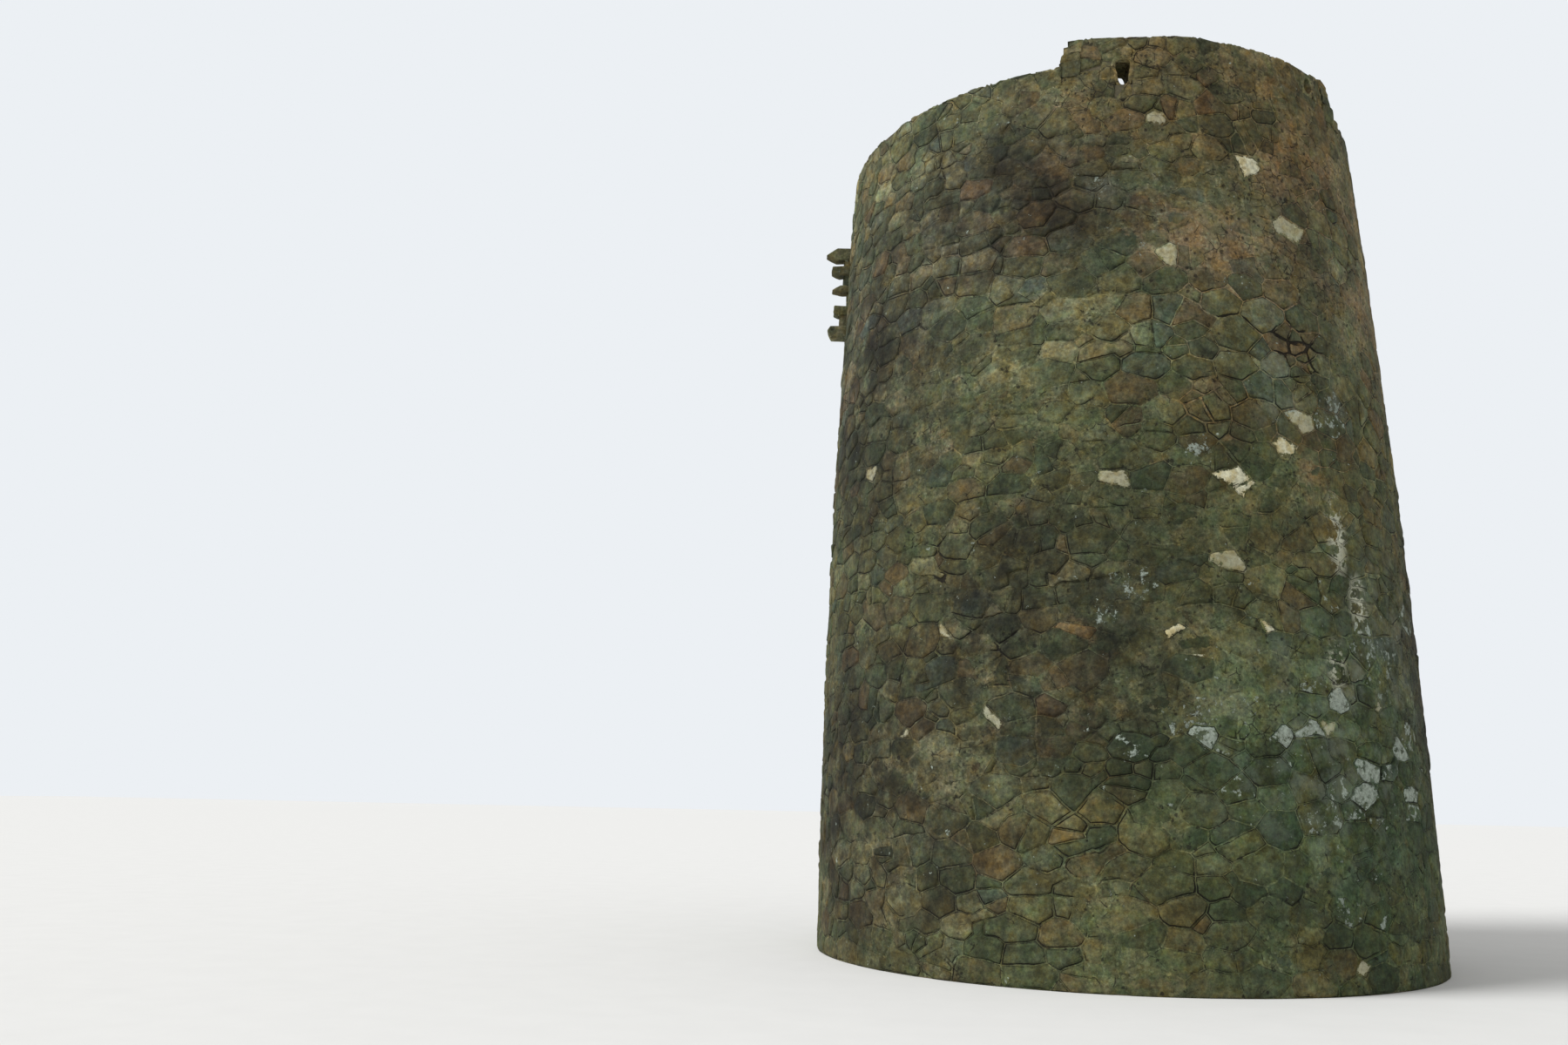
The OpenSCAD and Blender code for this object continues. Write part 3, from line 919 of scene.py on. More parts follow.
    def build(self) -> Material:
        """Build the material."""
        sheet = NodeSheet(self.name)
        inside, smear = sheet.attribute("inside"), sheet.attribute("smear")
        torn, broad, grain = sheet.swing(self.torn), sheet.swing(self.broad), sheet.noise(self.grain)
        bare = self.bare(sheet, inside, smear)
        stone = self.stone_shading.lay(sheet, sheet.ramp(sheet.attribute("tone"), *self.stones))
        thin = self.thin_cover.of(smear) * self.thin_more + self.thin_least
        colour = sheet.mix(bare, sheet.mix(thin, self.mortar(sheet), stone), stone)
        for drift in self.drifts:
            colour = sheet.mix(1.0, colour, drift.tint(sheet), "MULTIPLY")
        colour = self.pale(sheet, self.weather(sheet, colour), inside)
        # painted shade and dirt: a thin dark line along the outline of stones that little mortar covers,
        # where shade gathers at the joint
        outline_shade_and_dirt = self.faint_edge.of(inside + torn * self.faint_sway) * self.faint_cover.of(smear)
        colour = sheet.mix(outline_shade_and_dirt * self.faint_strength, colour, self.open_joint)
        # painted shade: holes, fissures, cracks and open joints turn near black for the shadow inside them;
        # the cracks favour the undersides of stones
        pits = (self.pits(sheet) | self.fissures(sheet)) * (1.0 - bare * self.pits_on_stone)
        crack = sheet.attribute("joint") + torn * self.crack_torn + broad * self.crack_broad
        dark = self.crack_band.of(crack) | pits * self.pits_strength
        colour = sheet.mix(dark * self.dark_strength, colour, self.open_joint)
        mortar_relief = grain * self.mortar_grain + sheet.noise(self.lumps)
        stone_relief = grain * self.stone_grain + sheet.noise(self.hewn) * self.hewn_depth + self.stone_rise
        relief = Value(sheet, sheet.add("ShaderNodeMix", {0: bare, 2: mortar_relief, 3: stone_relief},
                                        data_type="FLOAT").outputs[0])
        return sheet.finish(colour, grain * self.rough_grain + self.roughness,
                            relief - dark * self.dark_depth, self.depth)


@dataclass(frozen=True)
class MasonryFinish:
    """Plain masonry of the solids that lie behind the skin of stones or inside the tower."""

    name: str
    light: Colour
    dark: Colour
    joint: Colour
    stones_per_metre: float = 4.0
    joint_width: float = 0.06
    joint_core: float = 0.4
    bend: float = 0.06
    grit: Grit = Grit(Grain(30.0, 8.0, 0.65), 0.8, shade(165, 165, 160), shade(240, 240, 236))
    stone_rise: float = 0.8
    grain_rise: float = 0.5
    roughness: float = 0.75
    rough_grain: float = 0.2
    depth: float = 0.012

    def build(self) -> Material:
        """Build the material."""
        sheet = NodeSheet(self.name)
        warp = sheet.noise(Grain(5.0, 4.0))
        bent = sheet.add("ShaderNodeMixRGB", {0: self.bend, 1: sheet.place, 2: warp}).outputs[0]
        tone = sheet.cell_number(self.stones_per_metre, bent)
        edge = sheet.cell_edge(self.stones_per_metre, bent)
        bare = Band(self.joint_width * self.joint_core, self.joint_width).of(edge)
        colour = sheet.mix(bare, self.joint, sheet.ramp(tone, (0.1, self.dark), (0.9, self.light)))
        grain = sheet.noise(self.grit.grain)
        return sheet.finish(self.grit.lay(sheet, colour), grain * self.rough_grain + self.roughness,
                            bare * self.stone_rise + grain * self.grain_rise, self.depth)


@dataclass(frozen=True)
class DressedFinish:
    """Rough-dressed stone of the doorway."""

    name: str
    light: Colour
    dark: Colour
    stain: Colour
    clouds: Grain = Grain(4.0, 8.0, 0.6)
    pits: Patches = Patches(Grain(17.0, 6.0, 0.7), Band(0.55, 0.7), 0.6)
    grit: Grit = Grit(Grain(42.0, 8.0, 0.65), 0.7, shade(165, 165, 160), shade(245, 245, 240))
    grain_rise: float = 0.35
    pit_rise: float = 0.9
    roughness: float = 0.72
    rough_grain: float = 0.22
    depth: float = 0.014

    def build(self) -> Material:
        """Build the material."""
        sheet = NodeSheet(self.name)
        colour = sheet.ramp(sheet.noise(self.clouds), (0.3, self.dark), (0.7, self.light))
        colour = self.grit.lay(sheet, sheet.mix(self.pits.lay(sheet), colour, self.stain))
        grain, pits = sheet.noise(self.grit.grain), sheet.noise(self.pits.grain)
        return sheet.finish(colour, grain * self.rough_grain + self.roughness,
                            grain * self.grain_rise + pits * self.pit_rise, self.depth)


@dataclass(frozen=True)
class LimeFinish:
    """Trodden lime floor, cracked and stained."""

    name: str
    light: Colour
    dark: Colour
    clouds: Grain = Grain(1.3, 7.0, 0.6)
    cracked: Patches = Patches(Grain(0.9, 5.0, 0.6), Band(0.50, 0.60))
    crack_band: Band = Band(0.010, 0.002)
    crack_colour: Colour = shade(60, 55, 46)
    crack_strength: float = 0.7
    stain: Coat = Coat(Patches(Grain(2.4, 9.0, 0.70), Band(0.48, 0.66), 0.55), shade(88, 90, 68))
    grit: Grit = Grit(Grain(40.0, 8.0, 0.7), 0.7, shade(170, 170, 165), shade(245, 245, 240))
    grain_rise: float = 0.5
    roughness: float = 0.72
    rough_clouds: float = 0.2
    depth: float = 0.008

    def build(self) -> Material:
        """Build the material."""
        sheet = NodeSheet(self.name)
        clouds, grain = sheet.noise(self.clouds), sheet.noise(self.grit.grain)
        lines = sheet.cell_edge(1.1, sheet.bent(2.6, 0.34))
        crack = self.crack_band.of(lines) * self.cracked.lay(sheet)
        colour = sheet.ramp(clouds, (0.3, self.dark), (0.7, self.light))
        colour = laid(sheet, colour, (self.stain, self.grit))
        colour = sheet.mix(crack * self.crack_strength, colour, self.crack_colour)
        return sheet.finish(colour, clouds * self.rough_clouds + self.roughness,
                            grain * self.grain_rise - crack, self.depth)


@dataclass(frozen=True)
class Wave:
    """One layer of lattice noise: its height, its lumps to the metre and its seed."""

    height: float
    scale: float
    seed: int


def waves_at(points: Array, waves: tuple[Wave, ...], seed: int = 0, start: float = 0.0) -> Array:
    """Return the sum of layers of noise at points in space, with a number added to their seeds."""
    return sum((wave.height * lattice_noise(points, wave.scale, seed + wave.seed) for wave in waves), start)


@dataclass(frozen=True)
class Site:
    """The middle of a stone on the unrolled face, with its reach and its looks."""

    across: float
    up: float
    reach: float
    tone: float
    pale: float = 0.0
    bare: float = 0.0
    crust: float = 0.0


def column(sites: list[Site], label: str) -> Array:
    """Return one value of every stone."""
    return np.array([getattr(site, label) for site in sites])


class Ring(IntEnum):
    """Rings of points that a stone of a skin has, from its outline inwards."""

    OUTLINE = 0
    JOINT = 1
    CRACK = 2
    EDGE = 3
    SHOULDER = 4
    FACE = 5
    CROWN = 6


@dataclass
class RingedStone:
    """A stone of a skin with its rings of points and how far inside its outline each lies."""

    face: BMFace
    number: int
    depths: Array
    rings: list[list[BMVert]]


@dataclass
class RubbleSkin:
    """The stones and joints of one face of the wall, laid over the solids as relief.

    The stones are laid out on the unrolled face, where the first axis runs along the wall and the
    second up the face, over the rim and on to the middle of the parapet's top.
    """

    stem: str
    sectors: tuple[str, ...]
    side: Side
    low: float
    gaps: tuple[Gap, ...]
    seed: int
    material: Material
    middle_height: float = 5.0
    top_lap: float = 0.008
    skyline_radius: float = 3.2
    skyline_rise: float = 0.016
    skyline_waves: tuple[Wave, ...] = (Wave(0.012, 1.1, 5), Wave(0.016, 3.4, 6))
    skyline_depth: float = 0.40
    course_low: float = 0.15
    course_high: float = 0.30
    course_top: float = 0.24
    finer_share: float = 0.22
    finer_levels: tuple[float, float] = (8.4, 9.4)
    widths: tuple[float, float] = (0.85, 2.5)
    widest: float = 0.56
    long_share: float = 0.12
    long_widths: tuple[float, float] = (0.45, 0.66)
    out_of_line: float = 0.16
    small_share: float = 0.34
    small_reach: tuple[float, float] = (0.02, 0.05)
    small_pale_share: float = 0.012
    fringe_step: float = 0.24
    fringe_away: tuple[float, float] = (0.08, 0.13)
    fringe_reach: float = 0.12
    crust_share: float = 0.24
    crust_least: float = 0.55
    crust_more: float = 0.45
    highest_tone: float = 0.97
    flatten: float = 1.35
    seam_lap: float = 1.2
    neighbours: int = 30
    block_half: float = 0.75
    first_span: float = 1.6
    gap_near: float = 1.0
    least_area: float = 0.0008
    least_clear: float = 0.026
    edge_step: float = 0.065
    joint_widths: tuple[float, ...] = (0.003, 0.005, 0.008, 0.014)
    short_edge: float = 0.042
    split_share: float = 0.22
    split_area: float = 0.040
    merge_share: float = 0.16
    merge_area: float = 0.135
    merge_edge: float = 0.09
    bend_across: tuple[Wave, ...] = (Wave(0.022, 3.1, 1), Wave(0.010, 10.5, 3), Wave(0.006, 21.0, 13))
    bend_up: tuple[Wave, ...] = (Wave(0.020, 3.1, 2), Wave(0.009, 10.5, 4), Wave(0.006, 21.0, 14))
    joint_lift: float = 0.010
    mortar_waves: tuple[Wave, ...] = (Wave(0.002, 0.8, 5), Wave(0.003, 4.2, 6), Wave(0.0015, 13.0, 7))
    facet_waves: tuple[Wave, ...] = (Wave(0.005, 8.0, 12), Wave(0.003, 13.0, 7))
    cover_waves: tuple[Wave, ...] = (Wave(0.70, 0.95, 8), Wave(0.50, 2.7, 9))
    crack_waves: tuple[Wave, ...] = (Wave(0.55, 1.7, 10), Wave(0.55, 6.5, 11))
    joint_sink: float = 0.001
    open_sink: float = 0.012
    crack_sink: float = 0.009
    open_crack_sink: float = 0.004
    # painted shade and dirt: the least crack mark on the outline of stones that mortar leaves bare
    faint_joint: float = 0.44
    least_lift: float = 0.0015
    sunk: float = -0.004

    def __post_init__(self) -> None:
        """Work out the length of the unrolled face."""
        outer = self.side is Side.OUTER
        self.turn_radius = FORM.radius(self.middle_height) if outer else FORM.inner_radius
        self.length = 2 * math.pi * self.turn_radius
        self.random = self.draw(0)
        self.middles: dict[int, Vector] = {}

    def draw(self, step: int) -> np.random.Generator:
        """Return a seeded source of random numbers for one step of the work."""
        return np.random.default_rng(self.seed + step)

    def bearing(self, across: Number) -> Number:
        """Return the bearing in degrees of places along the unrolled face."""
        return np.degrees(across / self.turn_radius) * self.side.value

    def along(self, bearing: float) -> float:
        """Return the place along the unrolled face of a bearing."""
        return math.radians(bearing) * self.turn_radius * self.side.value

    def from_place(self, across: Array, place: float) -> Array:
        """Return how far along the face some places lie from one, the short way round."""
        return (across - place + self.length / 2) % self.length - self.length / 2

    def corners(self, gap: Gap) -> list[tuple[float, float]]:
        """Return the corners of a gap on the unrolled face."""
        return [(self.along(bearing), level) for bearing, level in gap.corners]

    def top(self, across: float) -> float:
        """Return how far up the unrolled face reaches: the middle of the parapet's top."""
        rim, edge = float(FORM.rim(self.bearing(across))), FORM.edge_radius
        half = (FORM.radius(rim) - FORM.inner_radius) / 2
        return rim - edge + edge * math.pi / 2 + half - edge + self.top_lap

    def in_space(self, across: Array, up: Array, lift: Array) -> Array:
        """Wrap the unrolled face round the tower.

        Args:
            across: Places along the face.
            up: Places up the face.
            lift: Height over the face.

        Returns:
            Points in the row frame, one row each.
        """
        bearing = self.bearing(across)
        rim = FORM.rim(bearing)
        edge = FORM.edge_radius
        sign = self.side.value
        bend = rim - edge
        face_level = np.minimum(up, bend)
        if self.side is Side.OUTER:
            face = FORM.radius(face_level)
            lean = np.arctan(-FORM.slope(face_level))
            corner = FORM.radius(rim)
        else:
            face = np.full_like(up, FORM.inner_radius)
            lean = np.zeros_like(up)
            corner = face
        arc = np.clip((up - bend) / edge, 0.0, math.pi / 2)
        over = np.maximum(up - bend - edge * math.pi / 2, 0.0)
        on_face = up <= bend
        tilt = np.where(on_face, lean, arc)
        radius = np.where(on_face, face, corner - sign * (edge - edge * np.cos(arc) + over))
        radius = radius + sign * np.cos(tilt) * lift
        level = np.where(on_face, up, bend + edge * np.sin(arc)) + np.sin(tilt) * lift
        turn = np.radians(bearing)
        points = np.stack([radius * np.sin(turn), -radius * np.cos(turn), level], axis=1)
        ring = self.skyline_radius * np.stack([np.sin(turn), -np.cos(turn), np.zeros_like(turn)], axis=1)
        skyline = waves_at(ring, self.skyline_waves, start=self.skyline_rise)
        near_rim = smooth_step(-self.skyline_depth, 0.0, np.minimum(up, rim) - rim)
        points[:, 2] += np.maximum(skyline, 0.0) * near_rim
        return points

    def clearance(self, across: Array, up: Array) -> Array:
        """Return the distance of places on the face from the nearest gap."""
        best = np.full(len(across), np.inf)
        for gap in self.gaps:
            walls = [self.from_place(across, origin[0]) * normal[0] + (up - origin[1]) * normal[1]
                     for origin, normal in self.walls(gap)]
            best = np.minimum(best, np.max(walls, axis=0))
        return best

    def looseness(self, across: Array, up: Array) -> Array:
        """Return how far the joints have lost their mortar: 0 not at all, about 1 wholly."""
        loose = np.zeros(len(across))
        for place in LOOSE_PLACES if self.side is Side.OUTER else ():
            distance = np.hypot(self.from_place(across, self.along(place.bearing)), up - place.height)
            loose = np.maximum(loose, place.depth * smooth_step(place.reach, place.reach * 0.4, distance))
        return loose

    def walls(self, gap: Gap) -> list[tuple[tuple[float, float], tuple[float, float]]]:
        """Return a point and the outward direction of each side of a gap on the unrolled face."""
        corners = self.corners(gap)
        middle = np.mean(corners, axis=0)
        walls = []
        for first, second in sides_of(corners):
            run = np.subtract(second, first)
            normal = np.array([run[1], -run[0]]) / np.hypot(*run)
            if np.dot(normal, np.subtract(first, middle)) < 0:
                normal = -normal
            walls.append((first, (float(normal[0]), float(normal[1]))))
        return walls

    def crust(self) -> Array:
        """Return how thickly lichen grows on each stone: 0 not at all, 1 or more thickly."""
        random = self.draw(3)
        across, up = column(self.sites, "across"), column(self.sites, "up")
        total = np.zeros(len(across))
        for place in LICHEN_PLACES:
            away = self.from_place(across, self.along(place.bearing))
            distance = np.hypot(away, (up - place.height) / place.stretch)
            total = np.maximum(total, smooth_step(place.reach * 1.1, place.reach * 0.3, distance))
        lucky = random.random(len(across)) < self.crust_share * total
        grown = self.crust_least + self.crust_more * random.random(len(across))
        return np.maximum(np.where(lucky, grown, 0.0), column(self.sites, "crust"))

    def lay_courses(self) -> list[Site]:
        """Lay rough courses of stones with small pinning stones between them."""
        sites = []
        random = self.random
        level = self.low - 0.05
        while level < FORM.raised_level + self.course_top:
            course = random.uniform(self.course_low, self.course_high)
            course *= 1 - self.finer_share * float(smooth_step(*self.finer_levels, level))
            place = -self.length / 2 + random.uniform(0, 0.3)
            while place < self.length / 2 - 0.08:
                width = min(course * random.uniform(*self.widths), self.widest)
                if random.random() < self.long_share:
                    width = random.uniform(*self.long_widths)
                up = level + course / 2 + random.normal(0, self.out_of_line) * course
                sites.append(Site(place + width / 2, up, 0.34 * width + 0.1 * course,
                                  random.random() * self.highest_tone))
                if random.random() < self.small_share:
                    small = random.uniform(*self.small_reach)
                    sites.append(Site(
                        place + random.uniform(-0.03, 0.03), level + random.uniform(-0.03, 0.05), small,
                        random.random() * self.highest_tone,
                        0.5 if random.random() < self.small_pale_share else 0.0))
                place += width
            level += course
        return sites

    def marked(self) -> list[Site]:
        """Return the stones of known places."""
        if self.side is Side.INNER:
            return []
        sites = []
        for stone in MARKED_STONES:
            tone, pale, crust = stone.kind.value
            sites.append(Site(self.along(stone.bearing), stone.height,
                              0.30 * stone.width + 0.25 * stone.rise, tone, pale, 1.0, crust))
        return sites

    def fringe(self, gap: Gap) -> Iterator[Site]:
        """Return stones along the sides of a gap."""
        for (first, second), (_, normal) in zip(sides_of(self.corners(gap)), self.walls(gap)):
            count = max(1, round(math.dist(first, second) / self.fringe_step))
            for number in range(count):
                part = (number + 0.5 + self.random.uniform(-0.15, 0.15)) / count
                away = self.random.uniform(*self.fringe_away)
                yield Site(*(start + (end - start) * part + out * away
                             for start, end, out in zip(first, second, normal)),
                           self.fringe_reach, self.random.random() * self.highest_tone)

    def lay_stones(self) -> list[Site]:
        """Lay courses, with the stones of known places and along the gaps put into them."""
        sites = self.lay_courses()
        fixed = self.marked()
        for gap in self.gaps:
            if gap.fringe:
                fixed.extend(self.fringe(gap))
        across, up = column(sites, "across"), column(sites, "up")
        keep = np.ones(len(sites), bool)
        for site in fixed:
            away = self.from_place(across, site.across)
            keep &= np.hypot(away, (up - site.up) * self.flatten) > site.reach * 0.95 + 0.03
        joined = [site for site, kept in zip(sites, keep) if kept] + fixed
        clear = self.clearance(column(joined, "across"), column(joined, "up")) > 0.01
        return [site for site, kept in zip(joined, clear) if kept]

    def cut_stones(self) -> Iterator[tuple[int, list[Vector]]]:
        """Cut each stone's outline against its neighbours, the gaps, the foot and the top.

        Yields:
            The number of each stone and the corners of its outline.
        """
        across, up, reach = (column(self.sites, label) for label in ("across", "up", "reach"))
        wide = np.concatenate([across, across - self.length, across + self.length])
        near_seam = np.abs(wide) < self.length / 2 + self.seam_lap
        others = [row[near_seam] for row in (wide, np.tile(up, 3), np.tile(reach, 3))]
        walls = [self.walls(gap) for gap in self.gaps]
        for number, site in enumerate(self.sites):
            cuts = self.neighbour_cuts(site, *others)
            cuts.append((0.0, Vector((0, self.low, 0)), Vector((0, -1, 0))))
            cuts.append((0.0, Vector((0, self.top(site.across), 0)), Vector((0, 1, 0))))
            outline = self.cut_outline(site, cuts + self.gap_cuts(site, walls))
            if outline:
                yield number, outline

    def neighbour_cuts(self, site: Site, wide: Array, tall: Array, reaches: Array) -> list:
        """Return the cuts between a stone and its neighbours, the nearest first.

        Args:
            site: The stone.
            wide: Places along the face of all stones, with those over the seam twice.
            tall: Their places up the face.
            reaches: Their reach.

        Returns:
            Distance, a point and the outward direction of each cut.
        """
        here = Vector((site.across, site.up, 0.0))
        away, rise = wide - site.across, (tall - site.up) * self.flatten
        squared = away * away + rise * rise
        close = np.argpartition(squared, self.neighbours)[:self.neighbours + 1]
        cuts = []
        for other in close[np.argsort(squared[close])]:
            if squared[other] < 1e-8:
                continue
            part = (squared[other] + site.reach ** 2 - reaches[other] ** 2) / (2 * squared[other])
            point = here + Vector((away[other], rise[other] / self.flatten, 0.0)) * part
            cuts.append((part * math.sqrt(squared[other]), point,
                         Vector((away[other], rise[other] * self.flatten, 0.0))))
        return cuts

    def gap_cuts(self, site: Site, gap_walls: list) -> list:
        """Return the cuts between a stone and the gaps that are near it."""
        cuts = []
        for walls in gap_walls:
            ways = []
            for origin, normal in walls:
                shift = round((site.across - origin[0]) / self.length) * self.length
                distance = ((site.across - origin[0] - shift) * normal[0]
                            + (site.up - origin[1]) * normal[1])
                ways.append((distance, Vector((origin[0] + shift, origin[1], 0)),
                             Vector((-normal[0], -normal[1], 0))))
            distance, point, normal = max(ways, key=lambda way: way[0])
            if distance < self.gap_near:
                cuts.append((0.0, point, normal))
        return cuts

    def cut_outline(self, site: Site, cuts: list) -> list[Vector]:
        """Cut a block down to a stone's outline.

        Args:
            site: The stone.
            cuts: Distance, a point and the outward direction of each cut.

        Returns:
            The corners of the outline, or none where nothing is left.
        """
        here = Vector((site.across, site.up, 0.0))
        stone = bmesh.new()
        bmesh.ops.create_grid(stone, x_segments=1, y_segments=1, size=self.block_half,
                              matrix=Matrix.Translation(here))
        span = self.first_span
        for distance, point, normal in cuts:
            if distance > span or not stone.faces:
                continue
            bmesh.ops.bisect_plane(stone, geom=stone.verts[:] + stone.edges[:] + stone.faces[:],
                                   dist=1e-6, plane_co=point, plane_no=normal.normalized(),
                                   clear_outer=True)
            if stone.verts:
                span = max(math.hypot(v.co.x - here.x, (v.co.y - here.y) * self.flatten)
                           for v in stone.verts)
        outline = next(([v.co.copy() for v in face.verts] for face in stone.faces
                        if len(face.verts) > 2 and face.calc_area() > self.least_area), [])
        stone.free()
        return outline

    def split_stones(self) -> None:
        """Split some of the larger stones in two along a slanting line."""
        random = self.draw(4)
        for face in self.mesh.faces[:]:
            if self.sites[face[self.number]].bare or face.calc_area() < self.split_area:
                continue
            if random.random() > self.split_share:
                continue
            point = face.calc_center_median() + Vector((random.normal(0, 0.02), random.normal(0, 0.02), 0))
            lean = random.normal(0.0, 0.45) + (math.pi / 2 if random.random() < 0.3 else 0.0)
            parts = bmesh.ops.bisect_plane(
                self.mesh, geom=[face, *face.edges, *face.verts], dist=0.012, plane_co=point,
                plane_no=Vector((math.cos(lean), math.sin(lean), 0)))
            halves = [part for part in parts["geom"] if isinstance(part, BMFace)]
            for half in halves[1:]:
                half[self.number] = len(self.sites)
                self.sites.append(Site(point.x, point.y, 0.1, random.random() * self.highest_tone))

    def merge_stones(self) -> None:
        """Merge some neighbours into one stone of a less even outline."""
        random = self.draw(6)
        taken, chosen = set(), []
        for edge in self.mesh.edges:
            if len(edge.link_faces) != 2 or edge.calc_length() < self.merge_edge:
                continue
            first, second = edge.link_faces
            numbers = {first[self.number], second[self.number]}
            if (numbers & taken or any(self.sites[number].bare for number in numbers)
                    or len(set(first.edges) & set(second.edges)) > 1
                    or first.calc_area() + second.calc_area() > self.merge_area
                    or random.random() > self.merge_share):
                continue
            taken |= numbers
            for number in numbers:
                self.middles[number] = (edge.verts[0].co + edge.verts[1].co) / 2
            chosen.append(edge)
        bmesh.ops.dissolve_edges(self.mesh, edges=chosen, use_verts=False, use_face_split=False)

    def split_long_edges(self) -> None:
        """Split the outlines' edges so that they can bend."""
        by_count: dict[int, list] = {}
        for edge in self.mesh.edges:
            cuts = math.ceil(edge.calc_length() / self.edge_step) - 1
            if cuts > 0:
                by_count.setdefault(cuts, []).append(edge)
        for cuts, edges in by_count.items():
            bmesh.ops.bisect_edges(self.mesh, edges=edges, cuts=cuts)

    def build(self) -> None:
        """Build the skin and split it into one piece for each sector of the wall."""
        self.sites = self.lay_stones()
        self.mesh = bmesh.new()
        self.number = self.mesh.faces.layers.int.new("number")
        for number, outline in list(self.cut_stones()):
            face = self.mesh.faces.new([self.mesh.verts.new(corner) for corner in outline])
            face[self.number] = number
        bmesh.ops.remove_doubles(self.mesh, verts=self.mesh.verts, dist=self.short_edge)
        self.split_stones()
        self.merge_stones()
        self.split_long_edges()
        self.mesh.normal_update()
        marks = self.wrap(self.inset_rings())
        whole = bpy.data.meshes.new(self.stem)
        self.mesh.faces.index_update()
        numbers = np.array([face[self.number] for face in self.mesh.faces])
        self.mesh.to_mesh(whole)
        self.mesh.free()
        self.split(whole, numbers, marks)
        bpy.data.meshes.remove(whole)

    def inset_rings(self) -> list[RingedStone]:
        """Inset each outline to its joint, its crack, its edge and its shoulder, and crown it."""
        random = self.draw(1)
        stones = []
        for face in self.mesh.faces:
            middle = self.middles.get(face[self.number], face.calc_center_median())
            clear = min(self.apart(middle, edge) for edge in face.edges)
            if clear < self.least_clear:
                continue
            loose = self.looseness(np.array([middle.x]), np.array([middle.y]))[0]
            joint = min(random.choice(self.joint_widths) + 0.007 * loose, clear * (0.22 + 0.04 * loose))
            edge_width = 0.009 if clear > 0.06 else 0.004
            shoulder = min(random.uniform(0.012, 0.03), (clear - joint - 2 * edge_width) * 0.45)
            depths = np.cumsum([0.0, joint, edge_width, edge_width, shoulder, 0.0, 0.0])
            depths[Ring.FACE] = depths[Ring.SHOULDER] + (clear - depths[Ring.SHOULDER]) * 0.5
            depths[Ring.CROWN] = clear
            rings = [[loop.vert for loop in face.loops]]
            stones.append(RingedStone(face, face[self.number], depths, rings))
        faces = [stone.face for stone in stones]
        for _ in range(Ring.JOINT, Ring.CROWN):
            bmesh.ops.inset_individual(self.mesh, faces=faces, thickness=1e-4)
            for stone in stones:
                stone.rings.append([loop.vert for loop in stone.face.loops])
        for stone, crown in zip(stones, bmesh.ops.poke(self.mesh, faces=faces)["verts"]):
            stone.rings.append([crown])
        return stones

    @staticmethod
    def apart(point: Vector, edge: BMEdge) -> float:
        """Return the distance of a point from an edge."""
        first, second = edge.verts[0].co, edge.verts[1].co
        part = intersect_point_line(point, first, second)[1]
        return (point - first.lerp(second, min(max(part, 0.0), 1.0))).length

    def wrap(self, stones: list[RingedStone]) -> dict[str, Array]:
        """Give every point its place in its ring and its height over the face, and wrap the face.

        Args:
            stones: The stones with their rings.

        Returns:
            What the finish needs at each point.
        """
        verts = self.mesh.verts
        verts.index_update()
        verts.ensure_lookup_table()
        flat = np.array([(v.co.x, v.co.y) for v in verts])
        ring = np.zeros(len(verts), int)
        inside = np.zeros(len(verts))
        owner = np.full(len(verts), -1)
        centres = np.zeros((len(self.sites), 2))
        halves = np.full(len(self.sites), 0.1)
        for stone in stones:
            outline = flat[[vert.index for vert in stone.rings[Ring.OUTLINE]]]
            middle = self.middles.get(stone.number)
            centre = outline.mean(axis=0) if middle is None else middle[:2]
            centres[stone.number] = centre
            halves[stone.number] = max(0.03, np.abs(outline - centres[stone.number]).max(axis=0)[1])
            inward, reach, slant = self.inward(outline, centres[stone.number])
            for level in range(Ring.JOINT, Ring.CROWN + 1):
                chosen = np.array([vert.index for vert in stone.rings[level]])
                ring[chosen] = level
                inside[chosen] = stone.depths[level]
                owner[chosen] = stone.number
                if level == Ring.CROWN:
                    flat[chosen] = centres[stone.number]
                    continue
                shift = np.minimum(stone.depths[level] / slant, reach * 0.85)
                place = outline + inward * shift[:, None]
                soften = 0.08 if level < Ring.SHOULDER else 0.2
                flat[chosen] = (place * (1 - 2 * soften) + np.roll(place, 1, axis=0) * soften
                                + np.roll(place, -1, axis=0) * soften)
        border = self.true_border(flat)
        across, up, lift, marks = self.relief(flat, ring, owner, border, centres, halves)
        for vert, point in zip(verts, self.in_space(across, up, lift)):
            vert.co = point
        return marks | {"inside": inside}

    @staticmethod
    def inward(outline: Array, centre: Array) -> tuple[Array, Array, Array]:
        """Work out which way each corner of an outline moves when the outline shrinks.

        Args:
            outline: Corners in order.
            centre: Middle of the outline.

        Returns:
            Direction to the middle, distance from it, and how squarely the edge faces the middle.
        """
        inward = centre - outline
        reach = np.maximum(np.hypot(inward[:, 0], inward[:, 1]), 1e-6)
        inward = inward / reach[:, None]
        along = np.roll(outline, -1, axis=0) - np.roll(outline, 1, axis=0)
        along = along / np.maximum(np.hypot(along[:, 0], along[:, 1]), 1e-6)[:, None]
        slant = np.abs(inward[:, 0] * along[:, 1] - inward[:, 1] * along[:, 0])
        return inward, reach, np.clip(slant, 0.45, 1.0)

    def true_border(self, flat: Array) -> Array:
        """Tell which points lie on the skin's own border, and not on the seam at the back."""
        border = np.array([vert.is_boundary for vert in self.mesh.verts])
        keys = {}
        for index in np.flatnonzero(border):
            turned = (flat[index, 0] + self.length / 2) % self.length
            key = (round(turned * 200), round(flat[index, 1] * 200))
            keys.setdefault(key, []).append(index)
        for (first, second), members in keys.items():
            near = [(first + a, second + b) for a in (-1, 0, 1) for b in (-1, 0, 1)]
            seam = any(abs(abs(flat[i, 0]) - self.length / 2) < 0.5 for i in members)
            if seam and sum(len(keys.get(key, ())) for key in near) > 1:
                border[members] = False
        return border

